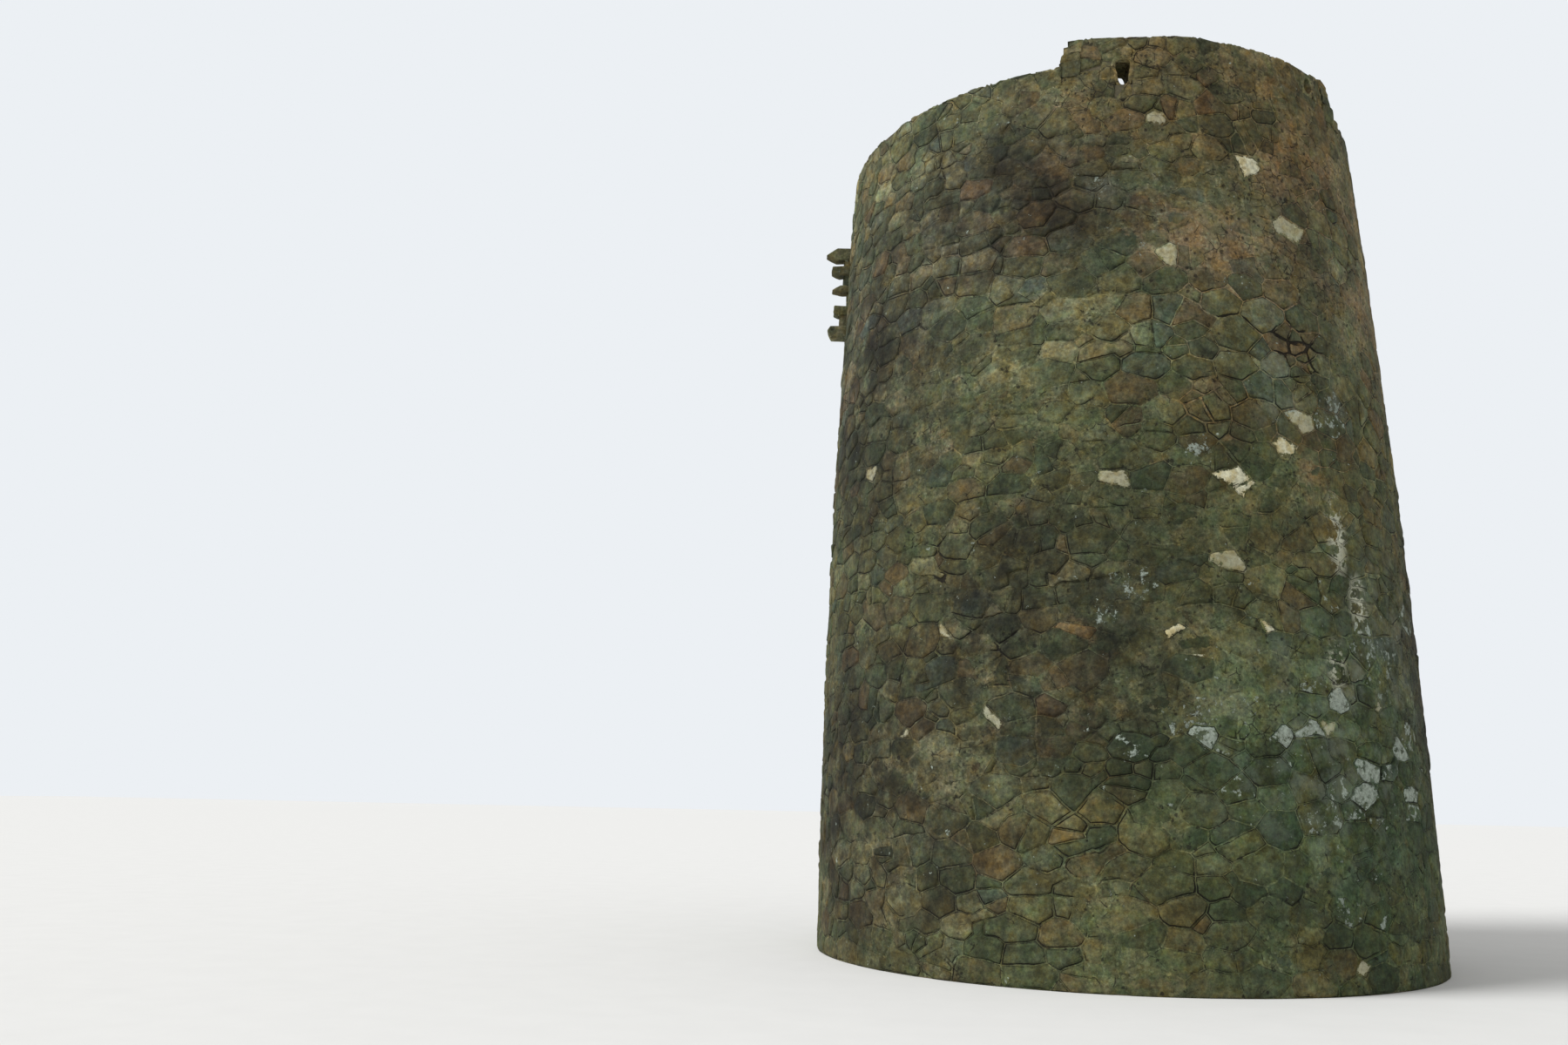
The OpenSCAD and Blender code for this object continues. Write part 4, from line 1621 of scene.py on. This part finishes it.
    def relief(self, flat: Array, ring: Array, owner: Array, border: Array,
               centres: Array, halves: Array) -> tuple:
        """Work out the height over the face of every point.

        Args:
            flat: Points on the unrolled face.
            ring: Which ring of its stone each point is on.
            owner: Which stone each point belongs to, or -1.
            border: Which points lie on the skin's border.
            centres: Middles of the stones.
            halves: Half of each stone's height.

        Returns:
            Places along and up the face, height over it, and what the finish needs at each point.
        """
        random = self.draw(2)
        across, up = flat[:, 0].copy(), flat[:, 1].copy()
        turn = across / self.turn_radius
        place = np.stack([self.turn_radius * np.cos(turn), self.turn_radius * np.sin(turn), up], axis=1)
        fade = smooth_step(0.0, 0.14, self.clearance(across, up))
        fade *= smooth_step(0.0, 0.10, up - self.low)
        across += fade * waves_at(place, self.bend_across, self.seed)
        up += fade * waves_at(place, self.bend_up, self.seed)
        mortar = waves_at(place, self.mortar_waves, self.seed, self.joint_lift)
        count = len(self.sites)
        proud = random.uniform(0.001, 0.011, count) + (random.random(count) < 0.10) * 0.010
        dome = random.uniform(-0.001, 0.005, count)
        tilt = random.normal(0, 0.025, (count, 2))
        bearing = turn * self.side.value
        mortared = 0.03 + 0.14 * np.cos(bearing - math.radians(60))
        mortared += 0.10 * smooth_step(6.6, 7.8, up) * np.cos(bearing - math.radians(40))
        cover = smooth_step(-0.30, 0.75, waves_at(place, self.cover_waves, self.seed) + mortared)
        stone_cover = random.random(count)
        own = np.maximum(owner, 0)
        belongs = owner >= 0
        smear = np.clip(cover * (0.25 + 0.8 * stone_cover[own]), 0, 1)
        smear = np.where(column(self.sites, "bare")[own] > 0.5, 0.0, smear)
        smear = np.where(belongs, smear, 1.0)
        off = flat - centres[own]
        side = np.where(belongs, off[:, 1] / halves[own], 0.0)
        loose = self.looseness(across, up)
        # painted shade: cracks are likelier on the lower side of each stone, so the near black the finish
        # lays in them stands for the shadow under the stone
        crack_chance = (waves_at(place, self.crack_waves, self.seed) - 0.42 * side - 0.02 + 0.55 * loose
                        - 0.48 * cover + 0.18 * np.cos(bearing + math.radians(60)))
        crack = smooth_step(0.05, 0.38, crack_chance)
        opened = 0.85 * smooth_step(0.12, 0.40, loose) * smooth_step(0.0, 0.5, crack_chance)
        face = mortar + proud[own] + (off * tilt[own]).sum(axis=1)
        face = mortar * smear + (face + waves_at(place, self.facet_waves, self.seed)) * (1 - smear)
        rings = [ring <= Ring.JOINT, *(ring == level for level in list(Ring)[Ring.CRACK:])]
        lift = np.select(rings, [
            mortar - self.joint_sink - self.open_sink * opened,
            mortar - self.joint_sink - crack * self.crack_sink - self.open_crack_sink * opened,
            mortar + (proud[own] * 0.6 + 0.001) * (1 - 0.9 * smear),
            face + 0.001,
            face + dome[own] * 0.7,
            face + dome[own]])
        lift = np.where(border, self.sunk, np.maximum(lift, self.least_lift))
        # painted shade and dirt: the crack ring of every stone that little mortar covers is marked at least
        # this dark, for a thin dark outline
        outline_shade_and_dirt = self.faint_joint * (1 - smear)
        joint = np.where(ring == Ring.CRACK, np.maximum(crack, outline_shade_and_dirt),
                         np.where(ring <= Ring.JOINT, opened, 0.0))
        return across, up, lift, {"smear": smear, "joint": joint}

    def split(self, whole: bpy.types.Mesh, numbers: Array, marks: dict[str, Array]) -> None:
        """Split the wrapped skin into one piece for each sector of the wall.

        Args:
            whole: Mesh of the whole skin.
            numbers: Which stone each face belongs to.
            marks: What the finish needs at each point.
        """
        total = len(whole.polygons)
        starts, sizes = np.zeros(total, np.int32), np.zeros(total, np.int32)
        corners = np.zeros(len(whole.loops), np.int32)
        points = np.zeros(len(whole.vertices) * 3, np.float32)
        whole.polygons.foreach_get("loop_start", starts)
        whole.polygons.foreach_get("loop_total", sizes)
        whole.loops.foreach_get("vertex_index", corners)
        whole.vertices.foreach_get("co", points)
        points = points.reshape(-1, 3)
        width = 360 / len(self.sectors)
        bearings = self.bearing(column(self.sites, "across"))[numbers]
        sector = ((bearings + width / 2) % 360 // width).astype(int)
        looks = {"tone": column(self.sites, "tone"), "pale": column(self.sites, "pale"),
                 "crust": self.crust()}
        for index, name in enumerate(self.sectors):
            chosen = np.flatnonzero(sector == index)
            loops = np.concatenate([np.arange(starts[i], starts[i] + sizes[i]) for i in chosen])
            used, renumbered = np.unique(corners[loops], return_inverse=True)
            mesh = bpy.data.meshes.new(f"{self.stem}_{name}")
            mesh.vertices.add(len(used))
            mesh.vertices.foreach_set("co", points[used].ravel())
            mesh.loops.add(len(loops))
            mesh.loops.foreach_set("vertex_index", renumbered.astype(np.int32).ravel())
            mesh.polygons.add(len(chosen))
            begin = np.concatenate([[0], np.cumsum(sizes[chosen])[:-1]]).astype(np.int32)
            mesh.polygons.foreach_set("loop_start", begin)
            mesh.polygons.foreach_set("use_smooth", np.ones(len(chosen), bool))
            mesh.update(calc_edges=True)
            mesh.validate()
            layers = [("FACE", label, values[numbers[chosen]]) for label, values in looks.items()]
            layers += [("POINT", label, values[used]) for label, values in marks.items()]
            for domain, label, values in layers:
                layer = mesh.attributes.new(label, "FLOAT", domain)
                layer.data.foreach_set("value", values.astype(np.float32))
            mesh.materials.append(self.material)
            add_piece(mesh, RUBBLE_SLOT)


def add_piece(mesh: bpy.types.Mesh, slot: str) -> bpy.types.Object:
    """Add a mesh to the scene as a piece of the tower.

    Args:
        mesh: The piece's mesh, in the row frame.
        slot: Not used.

    Returns:
        The piece.
    """
    piece = bpy.data.objects.new(mesh.name, mesh)
    bpy.context.scene.collection.objects.link(piece)
    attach(piece, BODY)
    triangles = sum(len(polygon.vertices) - 2 for polygon in mesh.polygons)
    log.info("piece %s: %d triangles", piece.name, triangles)
    return piece


@dataclass
class RoughStones:
    """Single stones with worn edges and a hewn surface.

    Each stone gets a tone, and the values that the rubble finish reads from a mesh.
    """

    material: Material
    slot: str = RUBBLE_SLOT
    step: float = 0.05
    edge_wear: float = 0.014
    rough: float = 0.007
    proud: float = 0.0
    seed: int = 3
    strokes: int = 6
    stroke_depth: tuple[float, float] = (0.72, 0.92)
    sharp_angle: float = math.radians(25)
    flat_angle: float = math.radians(3)
    rounds: int = 4
    tones: tuple[float, float] = (0.0, 0.95)
    inside: float = 0.2
    smear: float = 0.25

    def from_solid(self, node: str) -> None:
        """Make worn stones in the place of a solid.

        Args:
            node: The solid that they stand for.
        """
        stones = solid_copy(node)
        bmesh.ops.dissolve_limit(stones, angle_limit=self.flat_angle, verts=stones.verts,
                                 edges=stones.edges)
        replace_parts(self.finish(stones, f"worn_{node}"), node)

    def finish(self, stones: BMesh, name: str) -> bpy.types.Object:
        """Wear the stones, mark them for the rubble finish and make them a piece.

        Args:
            stones: Mesh of closed blocks, which is used up.
            name: Name of the new piece.

        Returns:
            The piece.
        """
        self.wear(stones)
        self.give_tones(stones)
        for label, value in (("inside", self.inside), ("smear", self.smear), ("joint", 0.0)):
            layer = stones.verts.layers.float.new(label)
            for vert in stones.verts:
                vert[layer] = value
        mesh = bpy.data.meshes.new(name)
        stones.to_mesh(mesh)
        stones.free()
        mesh.materials.append(self.material)
        return add_piece(mesh, self.slot)

    def give_tones(self, stones: BMesh) -> None:
        """Give each loose stone of a mesh a tone of its own, the lowest stone first."""
        random = np.random.default_rng(self.seed)
        layer = stones.faces.layers.float.new("tone")
        groups = islands(stones.faces, lambda face: (
            near for edge in face.edges for near in edge.link_faces))
        for stone in sorted(groups, key=lambda faces: min(
                TONE_ORDER.dot(vert.co) for face in faces for vert in face.verts)):
            tone = random.uniform(*self.tones)
            for face in stone:
                face[layer] = tone

    def wear(self, stones: BMesh) -> None:
        """Bevel, split and roughen closed blocks.

        Args:
            stones: Mesh of one or more closed blocks.
        """
        sharp = [edge for edge in stones.edges
                 if edge.is_manifold and edge.calc_face_angle(0.0) > self.sharp_angle]
        bmesh.ops.bevel(stones, geom=sharp, offset=self.edge_wear, affect="EDGES", segments=2,
                        profile=0.5, material=-1, clamp_overlap=True)
        bmesh.ops.triangulate(stones, faces=stones.faces)
        for _ in range(self.rounds):
            long_edges = [edge for edge in stones.edges if edge.calc_length() > self.step * 1.5]
            if not long_edges:
                break
            bmesh.ops.subdivide_edges(stones, edges=long_edges, cuts=1)
            bmesh.ops.triangulate(stones, faces=stones.faces)
        stones.normal_update()
        points = np.array([vert.co for vert in stones.verts])
        lumps = waves_at(points, (Wave(self.rough, 9.0, 0), Wave(self.rough * 0.5, 24.0, 1)), self.seed)
        normals = [vert.normal.copy() for vert in stones.verts]
        for vert, normal, lump in zip(stones.verts, normals, lumps):
            vert.co += normal * (float(lump) + self.proud)
        for face in stones.faces:
            face.smooth = True

    def chunk(self, stones: BMesh, size: tuple[float, float, float], place: Matrix,
              random: np.random.Generator) -> None:
        """Add one broken stone: a block with its corners struck off.

        Args:
            stones: Mesh that gets the stone.
            size: Length, depth and height.
            place: Where its middle stands, and how it is turned.
            random: Source of the strokes' directions.
        """
        block = bmesh.new()
        bmesh.ops.create_cube(block, size=1.0)
        for _ in range(self.strokes):
            stroke = Vector(random.normal(0.0, 1.0, 3)).normalized()
            reach = sum(abs(part) for part in stroke) / 2 * random.uniform(*self.stroke_depth)
            struck = bmesh.ops.bisect_plane(
                block, geom=block.verts[:] + block.edges[:] + block.faces[:], dist=1e-4,
                plane_co=stroke * reach, plane_no=stroke, clear_outer=True)
            rim = [part for part in struck["geom_cut"] if isinstance(part, BMEdge)]
            bmesh.ops.edgeloop_fill(block, edges=rim)
        bmesh.ops.recalc_face_normals(block, faces=block.faces)
        bmesh.ops.transform(block, matrix=place @ Matrix.Diagonal((*size, 1.0)), verts=block.verts)
        spare = bpy.data.meshes.new("spare")
        block.to_mesh(spare)
        block.free()
        stones.from_mesh(spare)
        bpy.data.meshes.remove(spare)


def stood(radius: float, turn: float, level: float) -> Matrix:
    """Return where a block stands that faces outwards at a distance, a turn and a level."""
    return Matrix.Translation(around(radius, turn, level)) @ Matrix.Rotation(turn, 4, "Z")


@dataclass(frozen=True)
class EndRow:
    """One row of stones of a broken end: how far it stands back, its length and its levels."""

    inset: float
    length: float
    low: float
    high: float


@dataclass
class BrokenEnds:
    """The broken stones that show where the raised parapet has fallen."""

    material: Material
    proud: float = 0.010
    lap: float = 0.012
    stones_deep: int = 3
    uneven_joint: float = 0.04
    uneven_inset: tuple[float, float] = (-0.008, 0.014)
    lean: float = 0.06
    left: tuple[EndRow, ...] = (
        EndRow(-0.026, 0.24, 9.905, 10.090), EndRow(-0.006, 0.22, 10.060, 10.215),
        EndRow(0.020, 0.20, 10.190, 10.318), EndRow(0.080, 0.19, 10.285, 10.372))
    right: tuple[EndRow, ...] = (
        EndRow(-0.020, 0.20, 9.830, 9.965), EndRow(0.105, 0.28, 9.870, 10.075),
        EndRow(0.135, 0.25, 10.050, 10.200), EndRow(0.180, 0.22, 10.175, 10.310),
        EndRow(0.225, 0.18, 10.270, 10.382))

    def build(self) -> None:
        """Build both ends."""
        for name, bearing, sign, rows in (
                ("raised_parapet_end_left", FORM.raised_left, 1, self.left),
                ("raised_parapet_end_right", FORM.raised_right, -1, self.right)):
            maker = RoughStones(self.material, step=0.035, edge_wear=0.016, rough=0.010, seed=11 + sign)
            random = np.random.default_rng(17 + sign)
            stones = bmesh.new()
            for row in rows:
                self.lay(stones, maker, bearing, sign, row, random)
            maker.finish(stones, name)

    def lay(self, stones: BMesh, maker: RoughStones, bearing: float, sign: int,
            row: EndRow, random: np.random.Generator) -> None:
        """Lay one row of an end through the depth of the parapet.

        Args:
            stones: Mesh that gets the stones.
            maker: Maker of broken stones.
            bearing: Bearing of the end's foot.
            sign: 1 where the parapet goes on towards growing bearings.
            row: Sizes of the row.
            random: Source of uneven sizes.
        """
        outer = FORM.radius(row.low) + self.proud
        inner = FORM.inner_radius - self.proud
        joints = inner + (outer - inner) * np.linspace(0.0, 1.0, self.stones_deep + 1)
        joints[1:-1] += random.uniform(-self.uneven_joint, self.uneven_joint, self.stones_deep - 1)
        for near, far in zip(joints[:-1] - self.lap, joints[1:] + self.lap):
            radius = (near + far) / 2
            inset = row.inset + random.uniform(*self.uneven_inset)
            turn = math.radians(bearing + sign * math.degrees((inset + row.length / 2) / radius))
            lean = Matrix.Rotation(random.normal(0.0, self.lean), 4, "Y")
            place = stood(radius, turn, (row.low + row.high) / 2) @ lean
            maker.chunk(stones, (row.length, far - near, row.high - row.low), place, random)


@dataclass
class CorbelRemains:
    """Bits of the fallen box's wall that still stick between the corbel stones."""

    material: Material
    reach: tuple[float, ...] = (0.100, 0.020, 0.085, 0.095)
    tail: float = 0.08
    lap: float = 0.022
    share: float = 0.86

    def build(self) -> None:
        """Build the remains of both cheeks."""
        maker = RoughStones(self.material, step=0.03, edge_wear=0.012, rough=0.009, seed=43, smear=0.8)
        for node in CORBEL_NODES:
            random = np.random.default_rng(47)
            spans = stone_spans(node)
            stones = bmesh.new()
            for reach, below, above in zip(self.reach, spans, spans[1:]):
                low, high = below[1] - self.lap, above[0] + self.lap
                radius = FORM.radius(low)
                turn = math.radians((below[2] + below[3]) / 2)
                width = radius * math.radians(abs(below[3] - below[2])) * self.share
                depth = reach + self.tail
                place = stood(radius + reach - depth / 2, turn, (low + high) / 2)
                maker.chunk(stones, (width, depth, high - low), place, random)
            maker.finish(stones, node.replace("stones", "remains"))


@dataclass
class LoopholeLining:
    """Worn lime and stone round the upright loophole, which is narrower at its foot."""

    material: Material
    bearing: float = 7.05
    low: float = 9.748
    high: float = 10.072
    half_width: float = 0.101
    half_share: float = 0.47
    squareness: float = 0.62
    narrow: tuple[float, float] = (0.70, 0.24)
    splay: float = 0.13
    proud: float = 0.012
    wall: float = 0.050
    rings: int = 7
    corners: int = 28

    def build(self) -> None:
        """Build the lining from the outer face to the inner face."""
        turn = math.radians(self.bearing)
        out = around(1.0, turn, 0.0)
        side = Vector((math.cos(turn), math.sin(turn), 0.0))
        level = (self.low + self.high) / 2
        outer = FORM.radius(level) + self.proud
        inner = FORM.inner_radius - self.proud
        lining = bmesh.new()
        ring = bmesh.ops.create_circle(lining, segments=self.corners, radius=1.0)["verts"]
        for vert in ring:
            across, up = (math.copysign(abs(part) ** self.squareness, part) for part in vert.co[:2])
            narrow = self.narrow[0] + self.narrow[1] * up
            rise = up * (self.high - self.low) * self.half_share
            vert.co = (out * outer + side * across * narrow * self.half_width
                       + Vector((0, 0, level + rise)))
        edges = lining.edges[:]
        for _ in range(self.rings):
            grown = bmesh.ops.extrude_edge_only(lining, edges=edges)["geom"]
            edges = [part for part in grown if isinstance(part, BMEdge)]
            for vert in (part for part in grown if isinstance(part, BMVert)):
                vert.co -= out * (outer - inner) / self.rings
                vert.co -= side * vert.co.dot(side) * self.splay / self.rings
        bmesh.ops.recalc_face_normals(lining, faces=lining.faces)
        middle = out * (outer + inner) / 2 + Vector((0, 0, level))
        face = lining.faces[0]
        facing = face.normal.dot(middle - face.calc_center_median()) > 0
        bmesh.ops.solidify(lining, geom=lining.faces[:], thickness=self.wall if facing else -self.wall)
        bmesh.ops.recalc_face_normals(lining, faces=lining.faces)
        maker = RoughStones(self.material, step=0.03, edge_wear=0.010, rough=0.011, seed=61,
                            tones=(0.79, 0.81), inside=0.03, smear=0.9)
        maker.finish(lining, "left_loophole_lining")


@dataclass
class LoopholeRing:
    """The ring of lime and small stones round the second loophole."""

    material: Material
    bearing: float = 51.9
    level: float = 10.172
    hole: float = 0.070
    taller: float = 1.15
    width: float = 0.085
    depth: float = 0.11
    lift: float = 0.020
    steps: int = 28

    def build(self) -> None:
        """Build a ring on the outer face and one on the inner face."""
        out = around(1.0, math.radians(self.bearing), 0.0)
        rim = self.hole + self.width
        profile = ((self.hole * 1.12, 0.0), (self.hole + self.width * 0.7, 0.004), (rim, 0.022),
                   (rim, self.depth), (self.hole, self.depth))
        for name, radius, sign in (
                ("right_loophole_ring_outer", FORM.radius(self.level), 1),
                ("right_loophole_ring_inner", FORM.inner_radius, -1)):
            face = radius + sign * self.lift
            ring = bmesh.new()
            start = [ring.verts.new(out * (face - sign * back) + Vector((0, 0, self.level + up)))
                     for up, back in profile]
            edges = [ring.edges.new(pair) for pair in sides_of(start)]
            bmesh.ops.spin(ring, geom=start + edges, cent=out * face + Vector((0, 0, self.level)),
                           axis=out, angle=2 * math.pi, steps=self.steps, use_merge=True)
            bmesh.ops.remove_doubles(ring, verts=ring.verts, dist=MERGE_DISTANCE)
            bmesh.ops.scale(ring, vec=(1.0, 1.0, self.taller), verts=ring.verts,
                            space=Matrix.Translation((0, 0, -self.level)))
            bmesh.ops.recalc_face_normals(ring, faces=ring.faces)
            maker = RoughStones(self.material, step=0.03, edge_wear=0.008, rough=0.010, seed=21 + sign,
                                tones=(0.55, 0.65), inside=0.03, smear=0.9)
            maker.finish(ring, name)


@dataclass
class Finishes:
    """All finishes of the tower, each named as in the record where it has a slot there."""

    rubble: Material
    rubble_wall: Material
    core_masonry: Material
    vault_masonry: Material
    dressed_stone: Material
    corbel_stone: Material
    lime_floor: Material

    @classmethod
    def mixed(cls) -> "Finishes":
        """Mix every finish."""
        return cls(
            rubble=RubbleFinish().build(),
            rubble_wall=MasonryFinish("wall_backing", shade(112, 104, 84), shade(90, 86, 68),
                                      shade(98, 93, 75)).build(),
            core_masonry=MasonryFinish("core_masonry", shade(106, 98, 80), shade(80, 75, 60),
                                       shade(92, 86, 70)).build(),
            vault_masonry=MasonryFinish("vault_masonry", shade(134, 124, 102), shade(104, 96, 78),
                                        shade(126, 118, 98), 5.0).build(),
            dressed_stone=DressedFinish("doorway_stone", shade(136, 126, 102), shade(104, 97, 78),
                                        shade(86, 84, 66)).build(),
            corbel_stone=RubbleFinish("corbel_stone").build(),
            lime_floor=LimeFinish("trodden_lime", shade(142, 134, 114), shade(112, 106, 88)).build(),
        )


@dataclass
class WatchTower:
    """The whole tower: finishes on the solids, and the pieces that dress them."""

    finishes: Finishes
    sectors: tuple[str, ...] = ("front", "front_right", "right", "back_right", "back",
                                "back_left", "left", "front_left")
    quarters: tuple[str, ...] = ("front", "right", "back", "left")
    left_loophole: tuple[float, float] = (5.35, 8.75)
    right_loophole: tuple[float, float] = (49.95, 54.25)
    over_rim: float = 0.5
    worn_drop: float = 0.07
    slack: float = 0.004
    arch_steps: int = 8

    def parapet_gaps(self) -> tuple[Gap, ...]:
        """Return the gaps that both faces of the parapet share."""
        top, foot = FORM.raised_level + self.over_rim, FORM.end_foot
        left, right = FORM.raised_left, FORM.raised_right
        levels = {side: (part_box(f"{side}_loophole_sill")[1].z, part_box(f"{side}_loophole_lintel")[0].z)
                  for side in ("left", "right")}
        return (
            Gap.between(left, left + FORM.left_end_run, foot, top),
            Gap.between(right - FORM.right_end_run, right, foot - self.worn_drop, top),
            Gap.between(*self.left_loophole, *levels["left"], fringe=True),
            Gap.between(*self.right_loophole, *levels["right"]))

    def outer_gaps(self) -> tuple[Gap, ...]:
        """Return the gaps of the outer face: the doorway and the corbel stones."""
        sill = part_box("door_sill")
        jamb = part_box("door_jamb_near")
        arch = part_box("door_arch")
        radius = FORM.radius(sill[1].z)
        foot = sill[0].z + self.slack
        half = math.degrees(math.asin((abs(jamb[0].y) - self.slack) / radius))
        arch_half = arch[1].y - self.slack
        corners = [(DOOR_BEARING - half, foot), (DOOR_BEARING + half, foot)]
        for step in range(self.arch_steps + 1):
            turn = math.pi * step / self.arch_steps
            bearing = math.degrees(math.asin(arch_half * math.cos(turn) / radius))
            corners.append((DOOR_BEARING + bearing, jamb[1].z + arch_half * math.sin(turn)))
        corbels = (Gap.between(first, second, low, high)
                   for node in CORBEL_NODES for low, high, first, second in stone_spans(node))
        return (Gap(tuple(corners), fringe=True), *corbels)

    def dress_solids(self) -> None:
        """Give every solid the finish of its slot in the record."""
        slots = {part["node"]: part["material_slot"] for part in frame["record"]["subparts"]}
        for name, node in frame["nodes"].items():
            look = getattr(self.finishes, slots[name])
            for index in range(len(node.data.materials)):
                node.data.materials[index] = look
            if not node.data.materials:
                node.data.materials.append(look)

    def build(self) -> None:
        """Build every piece."""
        self.dress_solids()
        rubble, shared = self.finishes.rubble, self.parapet_gaps()
        RubbleSkin("wall_face", self.sectors, Side.OUTER, 0.0, shared + self.outer_gaps(), 41,
                   rubble).build()
        RubbleSkin("parapet_inside", self.quarters, Side.INNER, FORM.deck_level, shared, 57,
                   rubble).build()
        for kind in (BrokenEnds, LoopholeLining, LoopholeRing, CorbelRemains):
            kind(rubble).build()
        corbels = RoughStones(self.finishes.corbel_stone, "corbel_stone", step=0.045, edge_wear=0.012,
                              rough=0.011, seed=31, tones=(0.30, 0.92))
        for node in CORBEL_NODES:
            corbels.from_solid(node)
        surround = RoughStones(self.finishes.dressed_stone, "dressed_stone", step=0.07, edge_wear=0.012,
                               rough=0.004, proud=0.004, seed=35)
        for node in ("door_jamb_near", "door_jamb_far", "door_arch"):
            surround.from_solid(node)


@dataclass(frozen=True)
class Standpoint:
    """Where the photograph was taken from, and how the camera was held."""

    distance: float = 17.15
    eye_height: float = 1.8
    turned_left: float = 13.98
    raised: float = 11.85
    rolled: float = 1.03
    focal_length: float = 30.0
    sensor_width: float = 36.0
    farthest: float = 500.0

    def build(self) -> None:
        """Place the camera."""
        aside, up, roll = (math.radians(a) for a in (self.turned_left, self.raised, self.rolled))
        level = Vector((-math.sin(aside), math.cos(aside), 0.0))
        right = Vector((math.cos(aside), math.sin(aside), 0.0))
        forward = level * math.cos(up) + Vector((0, 0, math.sin(up)))
        upward = -level * math.sin(up) + Vector((0, 0, math.cos(up)))
        tilted_right = right * math.cos(roll) + upward * math.sin(roll)
        tilted_up = -right * math.sin(roll) + upward * math.cos(roll)
        data = bpy.data.cameras.new("photo_view")
        data.lens = self.focal_length
        data.sensor_width = self.sensor_width
        data.clip_end = self.farthest
        camera = bpy.data.objects.new("photo_view", data)
        turn = Matrix((tilted_right, tilted_up, -forward)).transposed()
        camera.matrix_world = Matrix.Translation((0, -self.distance, self.eye_height)) @ turn.to_4x4()
        bpy.context.scene.collection.objects.link(camera)
        bpy.context.scene.camera = camera


@dataclass(frozen=True)
class Studio:
    """Pale floor, a soft lamp and a pale world."""

    floor_half: float = 150.0
    world_level: float = 0.60
    key_level: float = 2.6
    key_spread: float = 24.0
    key_from: tuple[float, float, float] = (-1.25, -0.75, 1.35)
    floor_colour: Colour = shade(222, 222, 220)
    floor_light: Colour = shade(228, 228, 226)
    floor_grain: Grain = Grain(2.0, 3.0)
    floor_roughness: float = 0.9
    floor_depth: float = 0.0005
    backdrop: Colour = shade(236, 240, 244)

    def build(self) -> None:
        """Build floor, world and lamp."""
        bpy.context.scene.view_settings.view_transform = "Standard"
        self.build_floor()
        self.build_world()
        lamp = bpy.data.lights.new("soft_key", "SUN")
        lamp.energy = self.key_level
        lamp.angle = math.radians(self.key_spread)
        key = bpy.data.objects.new("soft_key", lamp)
        key.rotation_euler = Vector(self.key_from).to_track_quat("Z", "Y").to_euler()
        bpy.context.scene.collection.objects.link(key)

    def build_floor(self) -> None:
        """Build the floor."""
        plane = bmesh.new()
        bmesh.ops.create_grid(plane, x_segments=1, y_segments=1, size=self.floor_half)
        mesh = bpy.data.meshes.new("studio_floor")
        plane.to_mesh(mesh)
        plane.free()
        floor = bpy.data.objects.new("studio_floor", mesh)
        bpy.context.scene.collection.objects.link(floor)
        sheet = NodeSheet("studio_floor")
        grain = sheet.noise(self.floor_grain)
        colour = sheet.mix(grain, self.floor_colour, self.floor_light)
        mesh.materials.append(sheet.finish(colour, self.floor_roughness, grain, self.floor_depth))

    def build_world(self) -> None:
        """Build a white world that lights the tower and shows as a pale backdrop."""
        world = bpy.data.worlds.new("studio")
        world.use_nodes = True
        bpy.context.scene.world = world
        tree = world.node_tree
        background = tree.nodes["Background"]
        background.inputs["Color"].default_value = WHITE
        background.inputs["Strength"].default_value = self.world_level
        seen = tree.nodes.new("ShaderNodeBackground")
        seen.inputs["Color"].default_value = self.backdrop
        path = tree.nodes.new("ShaderNodeLightPath")
        mixer = tree.nodes.new("ShaderNodeMixShader")
        for source, target in (
                (path.outputs["Is Camera Ray"], mixer.inputs[0]), (background.outputs[0], mixer.inputs[1]),
                (seen.outputs[0], mixer.inputs[2]),
                (mixer.outputs[0], tree.nodes["World Output"].inputs["Surface"])):
            tree.links.new(source, target)


def main() -> None:
    """Build the studio and the tower."""
    Standpoint().build()
    Studio().build()
    WatchTower(Finishes.mixed()).build()


if __name__ == "__main__":
    main()
